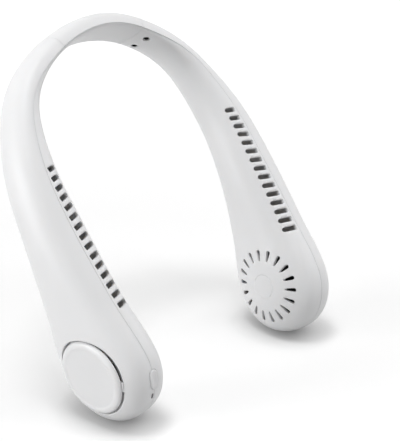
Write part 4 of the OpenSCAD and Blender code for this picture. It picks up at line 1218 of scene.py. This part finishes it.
def ribbed(distance, pitch):
    """A round wave from 0 to 1 that repeats each pitch."""
    return worked_out("SINE", distance * (2 * pi / pitch)) * 0.5 + 0.5


in_row = placed()
row_turn = in_row.to_3x3().normalized()
motor_middle = in_row @ tip_middle
motor_axis = row_turn @ tip_out
motor_sides = [row_turn @ tip_down, row_turn @ sideways]
mirrored = placed(True)
mirrored_turn = mirrored.to_3x3().normalized()
board_middle, board_down, board_out = station(socket_station)


def from_axis(place):
    """Height along the motor's axis, and distance from it, in metres."""
    at = folded(place)
    x, y = (along(at, motor_middle, way) for way in motor_sides)
    return along(at, motor_middle, motor_axis), worked_out("SQRT", x * x + y * y)


def turned_steel():
    """Turned and plated steel: fine rings round the axis."""
    paint, place = finish_of("turned_steel", (0.62, 0.62, 0.63), 0.28, 1.0)
    height, radius = from_axis(place)
    cloud = speckle(place, 0.004, 3.0)
    gloss = 0.28 + (cloud - 0.5) * 0.18
    rings = ribbed(height + radius, ring_pitch)
    return surfaced(paint, blended(cloud, steel_dark, steel_pale), gloss, rings, 0.000006, 0.6)


def stacked_sheets():
    """Punched steel sheets, 0.5 mm thick, with dark varnish between them."""
    paint, place = finish_of("stacked_sheets", (0.36, 0.36, 0.38), 0.45, 0.9)
    grain = speckle(place, 0.0006, 3.0)
    line = ramped(ribbed(from_axis(place)[0], sheet_pitch), 0.05, 0.3)
    colour = blended(line, (0.12, 0.11, 0.11), (0.40, 0.40, 0.42))
    return surfaced(paint, colour, 0.4 + (grain - 0.5) * 0.25, line + grain * 0.3, 0.00003)


def wound_wire():
    """Enamelled copper wire, 0.25 mm thick, wound side by side round each tooth."""
    paint, place = finish_of("wound_wire", (0.6, 0.24, 0.1), 0.25, 1.0)
    turns = ribbed(from_axis(place)[1], wire_pitch)
    cloud = speckle(place, 0.0015, 2.0)
    # Painted shade: each turn is painted darker towards the grooves between turns and lighter on its crown.
    colour = blended(turns, (0.24, 0.07, 0.03), (0.66, 0.28, 0.12))
    return surfaced(paint, colour, 0.22 + cloud * 0.16, turns + cloud * 0.4, 0.00006)


def sintered(name, colour, metallic, roughness):
    """Pressed and sintered powder: fine pores, which are bumped in and painted darker as painted shade."""
    paint, place = finish_of(name, colour, roughness, metallic)
    pores = ramped(speckle(place, 0.00025, 3.0), 0.38, 0.5)
    cloud = speckle(place, 0.003, 2.0)
    gloss = roughness + (cloud - 0.5) * 0.2
    return surfaced(paint, blended(pores, shaded(colour, 0.45), colour), gloss, pores, 0.00001)


def pouch_foil():
    """The cell's aluminium pouch: soft creases and a fine drawn grain."""
    paint, place = finish_of("pouch_foil", (0.55, 0.56, 0.58), 0.32, 0.85)
    creases = speckle(place, 0.006, 5.0)
    grain = speckle(place, 0.0004, 2.0, (6.0, 1.0, 1.0))
    colour = blended(grain, (0.48, 0.49, 0.51), (0.58, 0.59, 0.61))
    return surfaced(paint, colour, 0.26 + creases * 0.16, creases + grain * 0.05, 0.0004)


def printed_board():
    """Green solder mask over copper tracks, with black chips where the board stands higher."""
    paint, place = finish_of("printed_board", (0.02, 0.14, 0.06), 0.35)
    height = along(place, mirrored @ (board_middle + board_out * board_face), mirrored_turn @ board_out)
    inputs = {"Vector": place, "Scale": track_cells, "Randomness": 0.6}
    cells = made(place.tree, "ShaderNodeTexVoronoi", inputs, "Distance", distance="MANHATTAN")
    tracks = ramped(ribbed(cells, track_pitch), 0.55, 0.7)
    grain = speckle(place, 0.0008, 2.0)
    chip = ramped(height, 0.0, chip_rise)
    mask = blended(tracks, (0.012, 0.095, 0.04), (0.035, 0.2, 0.085))
    colour = blended(chip, mask, blended(grain, (0.012, 0.012, 0.013), (0.03, 0.03, 0.032)))
    gloss = 0.3 + chip * 0.25 + (grain - 0.5) * 0.1
    return surfaced(paint, colour, gloss, tracks + grain * 0.2, 0.00002)


def socket_steel():
    """A drawn steel shell with a dark plastic tongue that carries the contacts."""
    paint, place = finish_of("socket_steel", (0.62, 0.62, 0.63), 0.25, 1.0)
    middle = mirrored @ (board_middle + sideways * socket_side)
    across, beside = (worked_out("ABSOLUTE", along(place, middle, mirrored_turn @ way))
                      for way in (board_out, board_down))
    shell = ramped(worked_out("MAXIMUM", across * tongue_shape, beside), *tongue_edge)
    drawn = speckle(place, 0.0003, 3.0, (1.0, 6.0, 1.0))
    set_on(paint, {"Metallic": shell})
    colour = blended(shell, (0.02, 0.02, 0.022), blended(drawn, steel_dark, steel_pale))
    return surfaced(paint, colour, 0.5 - shell * 0.25 + (drawn - 0.5) * 0.1, drawn, 0.000004)


def smoked():
    """Smoked clear plastic with a matt diffusing grain."""
    paint, place = finish_of("smoked_plastic", (0.05, 0.05, 0.055), 0.22)
    set_on(paint, {"Coat Weight": 0.4})
    haze = speckle(place, 0.0006, 3.0)
    colour = blended(haze, (0.03, 0.03, 0.034), (0.075, 0.075, 0.08))
    return surfaced(paint, colour, 0.18 + haze * 0.14, haze, 0.000004)


def dress(paint, *nodes):
    """Puts a finish on construction nodes that show as they are."""
    for name in nodes:
        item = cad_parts[name]
        if not item.material_slots:
            item.data.materials.append(None)
        for held in item.material_slots:
            held.link = "OBJECT"
            held.material = paint


def pair(*parts):
    return [side + "_" + part for part in parts for side in sides]


dress(turned_steel(), *pair("rotor_cup", "motor_shaft"))
dress(sintered("ferrite", (0.09, 0.09, 0.095), 0.2, 0.5), *pair("magnet_ring"))
dress(sintered("bronze", (0.5, 0.34, 0.16), 1.0, 0.4), *pair("shaft_bearings"))
dress(stacked_sheets(), *pair("stator_core"))
dress(wound_wire(), *pair("stator_coils"))
dress(moulded("base_plastic", (0.72, 0.72, 0.71), 0.5), *pair("motor_base"))
dress(metal("motor_screw_steel", (0.35, 0.35, 0.36), 0.35, 0.0002, 0.000008), "motor_screws")
dress(pouch_foil(), *pair("battery_cell"))
# Painted light: the duct dividers are a pale grey, which lifts the slots in front of them, lying in shade, to
# a lit mid grey.
dress(moulded("divider_painted_light_grey", (0.34, 0.34, 0.345), 0.5, 0.0006, 0.00001, 0.1), *pair("duct_divider"))
dress(printed_board(), "control_board", "button_board")
dress(socket_steel(), "charging_socket")
dress(moulded("switch_black", (0.045, 0.045, 0.048), 0.42, 0.0004, 0.000008, 0.3), "tactile_switch")
dress(smoked(), "light_guide")
dress(moulded("wire_sheath", (0.03, 0.03, 0.032), 0.55, 0.0008, 0.00002, 0.35),
      "wire_harness", "battery_leads", "left_motor_lead", "button_lead")
